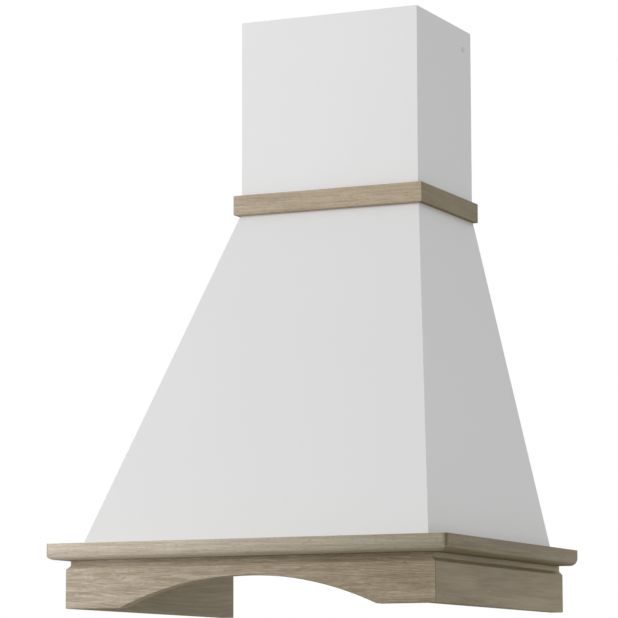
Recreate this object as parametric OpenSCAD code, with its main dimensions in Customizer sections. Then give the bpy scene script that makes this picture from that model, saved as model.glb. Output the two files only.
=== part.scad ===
// Wall-mounted chimney range hood with a white steel canopy and an oak frame.
// X runs to the hood's right, +Y points at the wall and +Z up. The wall is the plane y = 0.
// The origin is the middle of the four wall-fixing holes, on the wall.

/* [Wood frame] */
// Width of the moulding, which is the hood's overall width
moulding_w = 600; // [560:5:900]
// Depth of the moulding from the wall to its front edge
moulding_d = 510; // [495:5:600]
// Thickness of the moulding rails
moulding_h = 22.4; // [18:0.2:30]
// Width of a moulding rail, from its outer edge to the opening
moulding_rail_w = 59; // [54:1:62]
// Radius of the rounded lower edge of the moulding
moulding_edge_r = 11; // [4:0.5:14]
// Radius of the moulding's two front corners, seen from above
moulding_corner_r = 9; // [2:0.5:16]
// How far the moulding stands out past the apron at each side
side_overhang = 23.3; // [14:0.1:26]
// How far the moulding stands out past the apron at the front
front_overhang = 19.3; // [14:0.1:26]
// Height of the apron boards
apron_h = 67.3; // [60:0.1:120]
// Thickness of the apron boards
apron_t = 20; // [16:0.5:24]
// Height of the narrow neck at the top of the apron boards
neck_h = 8; // [3:0.5:12]
// How far the neck is set back, and the height of the slope that leads to it
neck_inset = 5; // [2:0.5:7]
// Width of the arch in the front apron at its foot
arch_span = 383; // [201:2:441]
// Height of the arch in the front apron
arch_rise = 41.2; // [20:0.2:46]
// Length of each side of the triangular blocks in the apron's front corners
corner_block = 28; // [18:1:34]
// Height of the wood band under the chimney
band_h = 29.2; // [20:0.2:45]
// Thickness of the wood band
band_t = 8; // [5:0.5:12]

/* [Steel canopy] */
// Height of the sloping canopy, from the moulding to the band
canopy_h = 493; // [470:1:600]
// Distance in from the moulding's edge to the canopy's foot at each side
canopy_side_step = 40.7; // [36:0.1:44]
// Distance in from the moulding's edge to the canopy's foot at the front
canopy_front_step = 37.5; // [33:0.1:44]
// Thickness of the canopy and chimney sheet
sheet = 0.8; // [0.6:0.1:1.2]
// Thickness of the back plate and the motor shelf
plate_t = 1; // [0.8:0.1:1.5]
// Width of the flanges that are folded in from the canopy's edges
flange_w = 12; // [8:0.5:13]
// Height of the motor shelf above the moulding
shelf_rise = 346; // [330:1:360]

/* [Chimney] */
// Width of the chimney
chimney_w = 281; // [260:1:320]
// Depth of the chimney
chimney_d = 211.5; // [204:0.5:240]
// Whole length of the chimney cover
chimney_len = 400; // [340:1:420]
// Length of the chimney that shows above the band
chimney_show = 261; // [200:1:290]
// Clearance between the chimney and the canopy's neck
slide_gap = 0.7; // [0.4:0.1:1]
// Height of the wall bracket in the chimney's top
bracket_h = 30; // [22:1:40]
// Reach of the wall bracket's arms along the chimney's sides
bracket_reach = 45; // [35:1:70]

/* [Wall fixing] */
// Height of the origin above the lower edge of the apron
fixing_height = 400; // [380:1:410]
// Distance between the wall-fixing holes, sideways
fixing_dx = 180; // [160:2:196]
// Distance between the wall-fixing holes, up and down
fixing_dz = 200; // [180:2:220]
// Diameter of the wall-fixing holes
fixing_hole_d = 8; // [6:0.5:10]
// Distance between the chimney bracket's two wall holes
bracket_dx = 200; // [160:2:230]
// Diameter of the chimney bracket's wall holes
bracket_hole_d = 6; // [4:0.5:8]

/* [Underside] */
// Thickness of the underside panel
panel_t = 0.8; // [0.8:0.1:1.5]
// Height of the panel's top face above the moulding's underside
panel_recess = 2.5; // [1.5:0.1:4]
// Width of the panel's strip outside each grease filter's opening
filter_side_strip = 16.7; // [14:0.1:24]
// Depth of one grease filter
filter_d = 300; // [260:1:304]
// Thickness of one grease filter
filter_h = 9; // [8:0.5:12]
// Clearance around a grease filter in its opening
filter_gap = 1; // [0.6:0.1:1.5]
// Width of the panel between the two filter openings
mullion_w = 20; // [16:1:24]
// Width of the filter's frame rails
filter_rail = 12; // [10:0.5:16]
// Distance between the wires of the filter's grille
grille_pitch = 27; // [24:0.5:34]
// Travel of the filter's latch
latch_travel = 6; // [5:0.5:7]
// Diameter of the hole for a lamp
lamp_d = 60; // [50:1:66]
// Distance from a lamp's middle to the panel's side edge
lamp_inset = 75.7; // [60:0.1:90]
// Width of one push button
button_w = 16; // [12:0.5:18]
// Distance between neighbouring push buttons
button_pitch = 25; // [23:0.5:28]
// Travel of a push button
button_travel = 2.5; // [1.5:0.1:3]

/* [Blower] */
// Diameter of the impeller
impeller_d = 184; // [160:1:190]
// Width of the impeller, both sides together
impeller_w = 124; // [100:1:130]
// Number of blades on each side of the impeller
blade_count = 36; // [20:1:44]
// Clearance between the impeller and the scroll's side plates
impeller_side_gap = 5; // [3:0.5:8]
// Clearance between the impeller and the scroll at the cut-off
cutoff_gap = 6; // [4:0.5:10]
// Distance from the motor shelf down to the impeller's axis
axis_drop = 180; // [170:1:200]
// How much the scroll's radius grows round the impeller
scroll_growth = 27; // [16:1:30]
// Wall thickness of the scroll
scroll_wall = 2; // [1.6:0.1:3]
// Diameter of the scroll's round inlets
inlet_d = 144; // [130:1:152]
// Diameter of the motor
motor_d = 84; // [70:1:96]
// Diameter of the motor shaft
shaft_d = 8; // [6:0.5:10]
// Outer diameter of the round outlet, over which the duct goes
outlet_d = 149; // [119:1:150]
// Height of the round outlet above its flange
outlet_h = 78; // [76:1:84]
// Wall thickness of the round outlet
outlet_wall = 2; // [1.5:0.1:3]
// Opening angle of the two damper flaps
damper_open = 75; // [60:1:80]

/* [Hidden] */
$fn = 48;

// Colours, as the photograph shows the outside and as such hoods have inside
oak = [0.66, 0.62, 0.53];
white_paint = [0.92, 0.92, 0.92];
zinc = [0.72, 0.74, 0.75];
bright_metal = [0.8, 0.81, 0.82];
dark_plastic = [0.16, 0.16, 0.17];
grey_plastic = [0.55, 0.56, 0.57];

// A small running clearance between parts that lie against each other, and a tiny overlap for cuts
seat_gap = 0.3;
cut = 1;

// Heights, from the lower edge of the apron upwards
base_z = -fixing_height;
moulding_z = base_z + apron_h;
foot_z = moulding_z + moulding_h;
band_z = foot_z + canopy_h;
band_top_z = band_z + band_h;
neck_top_z = band_top_z - 1.5;
chimney_top_z = band_top_z + chimney_show;
chimney_foot_z = chimney_top_z - chimney_len;
tray_z = moulding_z + panel_recess;
shelf_z = foot_z + shelf_rise;

// The canopy's outline
foot_w = moulding_w - 2 * canopy_side_step;
foot_d = moulding_d - canopy_front_step;
neck_w = chimney_w + 2 * (slide_gap + sheet);
neck_d = chimney_d + slide_gap + sheet;
side_slope = (foot_w - neck_w) / 2 / canopy_h;
front_slope = (foot_d - neck_d) / canopy_h;
// How thick a sloping sheet is when it is cut level
side_cut_t = sheet * sqrt(1 + side_slope * side_slope);
front_cut_t = sheet * sqrt(1 + front_slope * front_slope);

// The apron and the moulding's opening
apron_w = moulding_w - 2 * side_overhang;
apron_d = moulding_d - front_overhang;
opening_w = moulding_w - 2 * moulding_rail_w;
opening_d = moulding_d - moulding_rail_w;
skirt_w = opening_w - 2 * seat_gap;
skirt_d = opening_d - seat_gap;

// Half the canopy's outer width, and its outer depth, at height z
function canopy_half_w(z) = foot_w / 2 - side_slope * (z - foot_z);
function canopy_depth(z) = foot_d - front_slope * (z - foot_z);

// Filters: each swings on two pins in the sides of its opening's collar
filter_w = (skirt_w - 2 * filter_side_strip - mullion_w) / 2 - 2 * filter_gap;
filter_rear_gap = 2;
hole_rear_y = -20;
filter_rear_y = hole_rear_y - filter_rear_gap;
pivot_r = 2;
pivot_reach = filter_gap + sheet + 1.2;
pivot_y = filter_rear_y - 6;
filter_front_y = filter_rear_y - filter_d;
hole_front_y = filter_front_y - filter_gap;
filter_x = (filter_w + mullion_w) / 2 + filter_gap;
panel_low_z = tray_z - panel_t;
filter_top_z = panel_low_z + filter_h;
pivot_z = panel_low_z + filter_h / 2;
collar_lip_w = 5;
// The grilles and the mesh reach into the frame's groove, and are notched round the latch's housing
groove_reach = 3.6;
field_half_w = filter_w / 2 - filter_rail + groove_reach;
field_front_y = filter_front_y + filter_rail - groove_reach;
field_rear_y = filter_rear_y - filter_rail + groove_reach;

grille_t = 0.8;

// The filter's latch
latch_w = 24;
latch_t = 1.5;
latch_block_w = 44;
latch_block_d = 34;
notch = latch_block_w / 2 + seat_gap;
notch_rear_y = filter_front_y + latch_block_d + seat_gap;
latch_z = tray_z + 2;
tongue_reach = filter_gap + sheet + 2.2;
latch_len = 20;
grip_w = 14;
grip_d = 4;
grip_drop = 3;

// Controls and lamps, in the front strip of the panel
strip_y = (hole_front_y - sheet - skirt_d) / 2;
button_count = 5;
button_d = 12;
button_proud = 3.5;
bezel_t = 2;
bezel_w = button_count * button_pitch + 14;
bezel_d = 34;
control_w = bezel_w - 12;
control_d = 24;
control_h = 20;
lamp_spacing = skirt_w - 2 * lamp_inset;
lamp_rim = 6;
lamp_wall = 1.5;
lamp_depth = 26;

// Blower: the outlet stands in the middle of the chimney, and the scroll's straight wall is behind it
outlet_y = -chimney_d / 2;
outlet_r = outlet_d / 2;
scroll_w = impeller_w + 2 * (impeller_side_gap + scroll_wall);
cutoff_r = impeller_d / 2 + cutoff_gap;
scroll_end_r = cutoff_r + scroll_growth;
throat_d = 132;
throat_back_y = outlet_y + throat_d / 2;
throat_front_y = outlet_y - throat_d / 2;
axis_y = throat_back_y - scroll_end_r;
scroll_flange_t = 2.5;
scroll_flange_w = 10;
scroll_top_z = shelf_z;
axis_z = scroll_top_z - axis_drop;
blade_t = 1.4;
blade_chord = 15;
hub_disc_t = 3;
end_ring_w = 6;
end_ring_t = 3;
hub_r = 13;
hub_len = 26;
motor_inner_x = -hub_disc_t / 2 - 6;
motor_bore_len = 24;
shaft_in_motor = 20;
shaft_tip = 6;
scroll_side_x = scroll_w / 2;
lug_r = 7;
lug_len = 9;
lug_screw_r = 1.65;
lug_angles = [130, 215, 300];

// Outlet and damper
outlet_flange_w = 176;
outlet_flange_t = 2;
collar_z = shelf_z + plate_t;
damper_x = 6;
damper_z = collar_z + 14;
damper_t = 1.5;
damper_pin_r = 1.5;
bearing_hole_r = 1.55;
bearing_y = 62;
knuckle_r = 3;
ledge_w = 2;

// A prism along X from a polygon of [y, z] points
module extrude_x(x0, x1) {
    translate([x0, 0, 0])
        rotate([90, 0, 90])
            linear_extrude(height = x1 - x0)
                children();
}

// A prism along Y, from y0 back to y1, from a polygon of [x, z] points
module extrude_y(y0, y1) {
    translate([0, y1, 0])
        rotate([90, 0, 0])
            linear_extrude(height = y1 - y0)
                children();
}

// A rectangular block between two corners
module block(low, high) {
    translate(low)
        cube([high[0] - low[0], high[1] - low[1], high[2] - low[2]]);
}

// The same piece on both sides of the middle
module both_sides() {
    children();
    mirror([1, 0, 0])
        children();
}

// A round rod along X, Y or Z from a start point
module rod_x(p, r, len) {
    translate(p)
        rotate([0, 90, 0])
            cylinder(r = r, h = len);
}
module rod_y(p, r, len) {
    translate(p)
        rotate([-90, 0, 0])
            cylinder(r = r, h = len);
}
module rod_z(p, r, len) {
    translate(p)
        cylinder(r = r, h = len);
}

// A pan-head screw pointing down from the origin: the head stands above z = 0
module pan_screw(shank_r, shank_len, head_r, head_h) {
    difference() {
        union() {
            cylinder(r = head_r, h = head_h);
            translate([0, 0, -shank_len])
                cylinder(r = shank_r, h = shank_len + head_h / 2);
        }
        translate([-head_r * 0.6, -0.4, head_h * 0.5])
            cube([head_r * 1.2, 0.8, head_h]);
        translate([-0.4, -head_r * 0.6, head_h * 0.5])
            cube([0.8, head_r * 1.2, head_h]);
    }
}

/* Wood frame */

// The moulding's section across a rail: 0 is the outer edge, and w reaches in to the opening
module moulding_section(w) {
    difference() {
        square([w, moulding_h]);
        difference() {
            translate([-cut, -cut])
                square([moulding_edge_r + cut, moulding_edge_r + cut]);
            translate([moulding_edge_r, moulding_edge_r])
                circle(r = moulding_edge_r, $fn = 64);
        }
    }
}

// All three moulding rails in one piece, before they are mitred
module moulding_ring() {
    half = moulding_w / 2;
    r = moulding_corner_r;
    difference() {
        union() {
            both_sides()
                translate([-half, 0, moulding_z])
                    rotate([90, 0, 0])
                        linear_extrude(height = moulding_d - moulding_rail_w)
                            moulding_section(moulding_rail_w);
            // The front rail's section, with the side rails' rounded edges carried through it
            translate([0, 0, moulding_z])
                intersection() {
                    front_board(moulding_w, moulding_d, 0)
                        moulding_section(moulding_rail_w);
                    translate([-half, 0, 0])
                        rotate([90, 0, 0])
                            linear_extrude(height = moulding_d)
                                moulding_front_mask();
                }
        }
        both_sides()
            translate([half - r, -moulding_d + r, moulding_z - cut])
                difference() {
                    translate([0, -r - cut, 0])
                        cube([r + cut, r + cut, moulding_h + 2 * cut]);
                    translate([0, 0, -cut])
                        cylinder(r = r, h = moulding_h + 4 * cut);
                }
    }
}

// The outline of the front rail seen from the front, with both lower edges rounded
module moulding_front_mask() {
    moulding_section(moulding_w / 2 + 1);
    translate([moulding_w, 0])
        mirror([1, 0])
            moulding_section(moulding_w / 2 + 1);
}

// Boards along the front and the right-hand side of a w by d frame. Their child is the section,
// with 0 at the outer face and at height z.
module front_board(w, d, z) {
    translate([w / 2, -d, z])
        rotate([90, 0, -90])
            linear_extrude(height = w)
                mirror([1, 0])
                    children();
}

module right_board(w, d, z) {
    translate([w / 2, 0, z])
        rotate([90, 0, 0])
            linear_extrude(height = d)
                mirror([1, 0])
                    children();
}

// A wedge of plan that a front rail keeps when its ends are mitred at the frame's corner
module front_mitre(outer_w, outer_d, rail, z0, z1) {
    translate([0, 0, z0])
        linear_extrude(height = z1 - z0)
            polygon([
                [-outer_w / 2, -outer_d], [outer_w / 2, -outer_d],
                [outer_w / 2 - rail, -outer_d + rail], [-outer_w / 2 + rail, -outer_d + rail]
            ]);
}

// The plan of the right-hand rail, mitred at its front end
module right_mitre(outer_w, outer_d, rail, z0, z1) {
    translate([0, 0, z0])
        linear_extrude(height = z1 - z0)
            polygon([
                [outer_w / 2, -outer_d], [outer_w / 2, 0],
                [outer_w / 2 - rail, 0], [outer_w / 2 - rail, -outer_d + rail]
            ]);
}

// Places of the screws that hold the wood frame to the canopy, on the middle of the strip they pass
frame_screw_side_x = (opening_w / 2 + apron_w / 2 - apron_t) / 2;
frame_screw_front_y = -(opening_d + apron_d - apron_t) / 2;
frame_screw_spots = [
    for (x = [-frame_screw_side_x, frame_screw_side_x], y = [-0.28, -0.72]) [x, y * moulding_d],
    for (x = [-0.28, 0.28]) [x * moulding_w, frame_screw_front_y]
];
frame_screw_r = 1.9;
frame_screw_head_r = 3.6;
frame_screw_head_h = 2.2;

module frame_screw_holes() {
    for (p = frame_screw_spots) {
        rod_z([p[0], p[1], moulding_z - cut], frame_screw_r + 0.2, moulding_h + 2 * cut);
        rod_z([p[0], p[1], moulding_z - cut], frame_screw_head_r + 0.3, cut + frame_screw_head_h + 0.4);
    }
}

// One rail of the moulding: the part of the ring that its child keeps
module moulding_rail() {
    color(oak)
        difference() {
            intersection() {
                moulding_ring();
                children();
            }
            frame_screw_holes();
        }
}

module moulding_front() {
    moulding_rail()
        front_mitre(moulding_w, moulding_d, moulding_rail_w, moulding_z - cut, foot_z + cut);
}

module moulding_right() {
    moulding_rail()
        right_mitre(moulding_w, moulding_d, moulding_rail_w, moulding_z - cut, foot_z + cut);
}

module moulding_left() {
    mirror([1, 0, 0])
        moulding_right();
}

// The apron board's section: 0 is the outer face, and the neck is at the top
module apron_section() {
    face_h = apron_h - neck_h - neck_inset;
    polygon([
        [0, 0], [apron_t, 0], [apron_t, apron_h], [neck_inset, apron_h],
        [neck_inset, face_h + neck_inset], [0, face_h]
    ]);
}

// A cylinder along Y whose lower segment is the arch
module arch_cut() {
    r = (arch_span * arch_span / 4 + arch_rise * arch_rise) / (2 * arch_rise);
    translate([0, 0, base_z + arch_rise - r])
        rotate([90, 0, 0])
            cylinder(r = r, h = apron_d + cut, $fn = 128);
}

module apron_front() {
    color(oak)
        difference() {
            intersection() {
                front_board(apron_w, apron_d, base_z)
                    apron_section();
                front_mitre(apron_w, apron_d, apron_t, base_z - cut, moulding_z + cut);
            }
            arch_cut();
        }
}

module apron_right() {
    color(oak)
        intersection() {
            right_board(apron_w, apron_d, base_z)
                apron_section();
            right_mitre(apron_w, apron_d, apron_t, base_z - cut, moulding_z + cut);
        }
}

module apron_left() {
    mirror([1, 0, 0])
        apron_right();
}

// Glue blocks in the apron's two front corners, lifted out of sight above its lower edge
block_lift = 8;

module corner_blocks() {
    x = apron_w / 2 - apron_t;
    y = -apron_d + apron_t;
    color(oak)
        both_sides()
            translate([0, 0, base_z + block_lift])
                linear_extrude(height = apron_h - block_lift)
                    polygon([[x, y], [x, y + corner_block], [x - corner_block, y]]);
}

// Screws from below, through the moulding and into the canopy's foot flange
module frame_screws() {
    color(bright_metal)
        for (p = frame_screw_spots)
            translate([p[0], p[1], moulding_z + frame_screw_head_h])
                mirror([0, 0, 1])
                    pan_screw(frame_screw_r, moulding_h - frame_screw_head_h + sheet + 2.5,
                              frame_screw_head_r, frame_screw_head_h);
}

// The band's section has softened outer edges
module band_section() {
    soft = 1;
    polygon([
        [0, soft], [soft, 0], [band_t, 0], [band_t, band_h], [soft, band_h], [0, band_h - soft]
    ]);
}

band_w = neck_w + 2 * band_t;
band_d = neck_d + band_t;

module band_front() {
    color(oak)
        intersection() {
            front_board(band_w, band_d, band_z)
                band_section();
            front_mitre(band_w, band_d, band_t, band_z - cut, band_top_z + cut);
        }
}

module band_right() {
    color(oak)
        intersection() {
            right_board(band_w, band_d, band_z)
                band_section();
            right_mitre(band_w, band_d, band_t, band_z - cut, band_top_z + cut);
        }
}

module band_left() {
    mirror([1, 0, 0])
        band_right();
}

/* Steel canopy */

// The canopy's tapering body, taken in by tx at the sides and ty at the front, from z0 to z1
module canopy_body(tx, ty, z0, z1) {
    intersection() {
        extrude_y(-foot_d - cut, cut)
            polygon([
                [-canopy_half_w(z0) + tx, z0], [canopy_half_w(z0) - tx, z0],
                [canopy_half_w(z1) - tx, z1], [-canopy_half_w(z1) + tx, z1]
            ]);
        extrude_x(-foot_w / 2 - cut, foot_w / 2 + cut)
            polygon([
                [-canopy_depth(z0) + ty, z0], [0, z0], [0, z1], [-canopy_depth(z1) + ty, z1]
            ]);
    }
}

// The height at which the canopy's rear flanges stop, to leave the chimney room
rear_flange_top_z = shelf_z + 30;

module canopy_shell() {
    color(white_paint)
        union() {
            // The sloping front and sides
            difference() {
                canopy_body(0, 0, foot_z, band_z);
                canopy_body(side_cut_t, front_cut_t, foot_z - cut, band_z + cut);
            }
            // The upright neck behind the band
            difference() {
                block([-neck_w / 2, -neck_d, band_z - 0.7], [neck_w / 2, 0, neck_top_z]);
                block([-neck_w / 2 + sheet, -neck_d + sheet, band_z - cut],
                      [neck_w / 2 - sheet, cut, neck_top_z + cut]);
            }
            // The foot flange on the moulding, the skirt in its opening and the skirt's lower flange
            difference() {
                union() {
                    canopy_body(0, 0, foot_z, foot_z + sheet);
                    block([-skirt_w / 2, -skirt_d, tray_z], [skirt_w / 2, 0, foot_z + sheet / 2]);
                }
                block([-skirt_w / 2 + sheet, -skirt_d + sheet, tray_z + sheet],
                      [skirt_w / 2 - sheet, cut, foot_z + 2 * sheet]);
                block([-skirt_w / 2 + flange_w, -skirt_d + flange_w, tray_z - cut],
                      [skirt_w / 2 - flange_w, cut, tray_z + 2 * sheet]);
                for (p = frame_screw_spots)
                    rod_z([p[0], p[1], foot_z - cut], frame_screw_r + 0.05, 4 * cut);
                panel_screw_holes(tray_z - cut, 3 * cut);
                // Room for the back plate between the skirt's sides
                block([-skirt_w / 2 + sheet, -plate_t - 2, tray_z - cut],
                      [skirt_w / 2 - sheet, cut, tray_z + 2 * sheet]);
            }
            // Flanges folded in along the rear edges, in front of the back plate
            difference() {
                both_sides()
                    extrude_y(-plate_t - sheet, -plate_t)
                        polygon([
                            [canopy_half_w(foot_z) - side_cut_t / 2, foot_z + sheet / 2],
                            [canopy_half_w(rear_flange_top_z) - side_cut_t / 2, rear_flange_top_z],
                            [canopy_half_w(rear_flange_top_z) - flange_w, rear_flange_top_z],
                            [canopy_half_w(foot_z) - flange_w, foot_z + sheet / 2]
                        ]);
                rivet_holes();
            }
        }
}

// The back plate is wide up to the shelf and a narrow tongue above it, between the chimney's sides
tongue_w = chimney_w - 45;
tongue_top_z = band_z - 8;

module back_plate() {
    gap = side_cut_t + seat_gap;
    color(zinc)
        difference() {
            union() {
                extrude_y(-plate_t, 0)
                    polygon([
                        [-canopy_half_w(foot_z) + gap, foot_z + sheet + seat_gap],
                        [canopy_half_w(foot_z) - gap, foot_z + sheet + seat_gap],
                        [canopy_half_w(shelf_z) - gap, shelf_z],
                        [-canopy_half_w(shelf_z) + gap, shelf_z]
                    ]);
                block([-skirt_w / 2 + sheet + seat_gap, -plate_t, tray_z],
                      [skirt_w / 2 - sheet - seat_gap, 0, foot_z + 5]);
                block([-tongue_w / 2, -plate_t, shelf_z - 5], [tongue_w / 2, 0, tongue_top_z]);
                // The lower flange that the underside panel is screwed to
                block([-skirt_w / 2 + flange_w + 2, -flange_w, tray_z],
                      [skirt_w / 2 - flange_w - 2, 0, tray_z + plate_t]);
            }
            for (x = [-1, 1], z = [-1, 1])
                rod_y([x * fixing_dx / 2, -plate_t - cut, z * fixing_dz / 2],
                      fixing_hole_d / 2, plate_t + 2 * cut);
            panel_screw_holes(tray_z - cut, 3 * cut);
            rivet_holes();
        }
}

// The shelf carries the scroll below its square hole and the outlet above it
module motor_shelf() {
    half = canopy_half_w(shelf_z + plate_t) - side_cut_t - seat_gap;
    depth = canopy_depth(shelf_z + plate_t) - front_cut_t - seat_gap;
    turn = 18;
    low_z = shelf_z - turn;
    color(zinc)
        difference() {
            union() {
                block([-half, -depth, shelf_z], [half, -plate_t, collar_z]);
                // Turned-down edges at the back, the front and the sides
                block([-half, -2 * plate_t, low_z], [half, -plate_t, collar_z]);
                block([-half, -depth, low_z], [half, -depth + plate_t, collar_z]);
                both_sides()
                    block([half - plate_t, -depth, low_z], [half, -plate_t, collar_z]);
            }
            block([-scroll_side_x + scroll_wall, throat_front_y, shelf_z - cut],
                  [scroll_side_x - scroll_wall, throat_back_y, collar_z + cut]);
            for (p = collar_screw_spots)
                rod_z([p[0], p[1], shelf_z - cut], collar_screw_r + 0.3, 3 * cut);
            // Notches at the back, where the canopy's rear flanges pass
            both_sides()
                block([canopy_half_w(shelf_z) - flange_w - 6, -plate_t - sheet - seat_gap, low_z - cut],
                      [half + cut, 0, collar_z + cut]);
            rivet_holes();
        }
}

// Rivets through the back plate: each spot is [x, z, thickness of the sheet on the plate]
rivet_r = 1.6;
rivet_spots = concat(
    [for (s = [-1, 1], share = [0.12, 0.42, 0.72, 0.92])
        let (z = foot_z + share * shelf_rise)
        [s * (canopy_half_w(z) - side_cut_t - flange_w / 2), z, sheet]],
    [for (x = [-0.36, -0.14, 0.14, 0.36]) [x * neck_w, shelf_z - 9, plate_t]]
);

module rivet_holes() {
    for (p = rivet_spots)
        rod_y([p[0], -plate_t - 2 * cut, p[1]], rivet_r + 0.05, plate_t + 3 * cut);
}

// Flat-headed rivets that join the canopy's rear flanges and the shelf to the back plate
module sheet_rivets() {
    color(bright_metal)
        for (p = rivet_spots) {
            rod_y([p[0], -plate_t - p[2] - 0.9, p[1]], 3.2, 0.9);
            rod_y([p[0], -plate_t - p[2] - 0.5, p[1]], rivet_r, plate_t + p[2] + 0.45);
        }
}

/* Underside panel */

panel_screw_inset = 60;
panel_screw_spots = [
    for (x = [-1, 1], y = [-panel_screw_inset, -0.5 * skirt_d, -skirt_d + panel_screw_inset])
        [x * (skirt_w / 2 - flange_w / 2), y],
    for (x = [-1, 1]) [x * skirt_w * 0.25, -flange_w / 2 - plate_t / 2],
    for (x = [-1, 1]) [x * skirt_w * 0.25, -skirt_d + flange_w / 2]
];
panel_screw_r = 1.9;

module panel_screw_holes(z0, len) {
    for (p = panel_screw_spots)
        rod_z([p[0], p[1], z0], panel_screw_r + 0.05, len);
}

// A filter's opening, from below the panel to above it
module filter_hole() {
    block([-filter_w / 2 - filter_gap, hole_front_y, panel_low_z - cut],
          [filter_w / 2 + filter_gap, hole_rear_y, tray_z + cut]);
}

// The upturned collar round three sides of a filter's opening, with a lip over the filter
module filter_collar() {
    half = filter_w / 2 + filter_gap;
    top = filter_top_z + seat_gap;
    rear = pivot_y + 6;
    lip_rear = pivot_y - 3;
    difference() {
        block([-half - sheet, hole_front_y - sheet, tray_z - panel_t / 2],
              [half + sheet, rear, top + sheet]);
        block([-half, hole_front_y, panel_low_z - cut], [half, rear + cut, top]);
        block([-half + collar_lip_w, hole_front_y + collar_lip_w, panel_low_z - cut],
              [half - collar_lip_w, rear + cut, top + 2 * cut]);
        block([-half, lip_rear, top - cut], [half, rear + cut, top + 2 * cut]);
        // The holes for the filter's pins
        rod_x([-half - 2 * cut, pivot_y, pivot_z], pivot_r + 0.05, 2 * half + 4 * cut);
        // The slot that the latch's tongue goes through
        block([-latch_w / 2 - 1, hole_front_y - sheet - cut, latch_z - seat_gap],
              [latch_w / 2 + 1, hole_front_y + cut, latch_z + latch_t + seat_gap]);
    }
}

module underside_panel() {
    color(white_paint)
        difference() {
            union() {
                block([-skirt_w / 2, -skirt_d, panel_low_z], [skirt_w / 2, 0, tray_z]);
                both_sides()
                    translate([filter_x, 0, 0])
                        filter_collar();
            }
            both_sides()
                translate([filter_x, 0, 0])
                    filter_hole();
            both_sides()
                rod_z([lamp_spacing / 2, strip_y, panel_low_z - cut], lamp_d / 2, 3 * cut);
            block([-control_w / 2, strip_y - control_d / 2, panel_low_z - cut],
                  [control_w / 2, strip_y + control_d / 2, tray_z + cut]);
            panel_screw_holes(panel_low_z - cut, 3 * cut);
        }
}

module panel_screws() {
    color(bright_metal)
        for (p = panel_screw_spots)
            translate([p[0], p[1], panel_low_z])
                mirror([0, 0, 1])
                    pan_screw(panel_screw_r, panel_t + sheet + 3, 3.5, 1.4);
}

/* Chimney */

hem_w = 10;
chimney_screw_y = -30;
chimney_screw_r = 1.95;
bracket_drop = 15;
bracket_t = 1.5;
bracket_z = chimney_top_z - bracket_drop - bracket_h / 2;

module chimney_cover() {
    half = chimney_w / 2;
    color(white_paint)
        difference() {
            union() {
                difference() {
                    block([-half, -chimney_d, chimney_foot_z], [half, 0, chimney_top_z]);
                    block([-half + sheet, -chimney_d + sheet, chimney_foot_z - cut],
                          [half - sheet, cut, chimney_top_z + cut]);
                }
                // The rear edges are folded back on themselves
                both_sides()
                    block([half - 2 * sheet, -hem_w, chimney_foot_z], [half - sheet / 2, 0, chimney_top_z]);
            }
            rod_x([-half - cut, chimney_screw_y, bracket_z],
                  chimney_screw_r + 0.25, chimney_w + 2 * cut);
        }
}

// A U-shaped wall bracket in the chimney's top
module chimney_bracket() {
    half = chimney_w / 2 - 2 * sheet - seat_gap;
    t = bracket_t;
    z0 = bracket_z - bracket_h / 2;
    z1 = bracket_z + bracket_h / 2;
    color(zinc)
        difference() {
            union() {
                block([-half, -t, z0], [half, 0, z1]);
                both_sides()
                    block([half - t, -bracket_reach, z0], [half, 0, z1]);
            }
            for (x = [-1, 1])
                rod_y([x * bracket_dx / 2, -t - cut, bracket_z], bracket_hole_d / 2, t + 2 * cut);
            rod_x([-half - cut, chimney_screw_y, bracket_z], chimney_screw_r + 0.02, 2 * half + 2 * cut);
        }
}

module chimney_screws() {
    color(bright_metal)
        both_sides()
            translate([chimney_w / 2, chimney_screw_y, bracket_z])
                rotate([0, 90, 0])
                    pan_screw(chimney_screw_r, 8, 3.6, 2);
}

/* Grease filters: each is modelled about x = 0 and moved to its opening */

module filter_frame() {
    half = filter_w / 2;
    inner = half - filter_rail;
    color(bright_metal)
        difference() {
            union() {
                difference() {
                    block([-half, filter_front_y, panel_low_z], [half, filter_rear_y, filter_top_z]);
                    // The field of the filter, between the rails
                    block([-inner, filter_front_y + filter_rail, panel_low_z - cut],
                          [inner, filter_rear_y - filter_rail, filter_top_z + cut]);
                    // The groove that holds the grilles and the mesh
                    block([-inner - 4, filter_front_y + filter_rail - 4, panel_low_z + sheet],
                          [inner + 4, filter_rear_y - filter_rail + 4, filter_top_z - sheet]);
                }
                // The latch's housing in the front rail
                block([-latch_block_w / 2, filter_front_y, panel_low_z],
                      [latch_block_w / 2, filter_front_y + latch_block_d, filter_top_z]);
                // The pins that the filter swings on
                for (x = [-half - pivot_reach, half - filter_rail / 2])
                    rod_x([x, pivot_y, pivot_z], pivot_r, pivot_reach + filter_rail / 2);
            }
            // The latch's slideway, and the window for its grip
            block([-latch_w / 2 - 0.2, filter_front_y - cut, latch_z - 0.2],
                  [latch_w / 2 + 0.2, filter_front_y + latch_len + latch_travel + 1,
                   latch_z + latch_t + 0.2]);
            block([-grip_w / 2 - 0.5, latch_grip_y() - 0.5, panel_low_z - cut],
                  [grip_w / 2 + 0.5, latch_grip_y() + grip_d + latch_travel + 0.5, latch_z]);
        }
}

// Front edge of the latch's grip when the latch is shut
function latch_grip_y() = filter_front_y + latch_len - 7;

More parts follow.
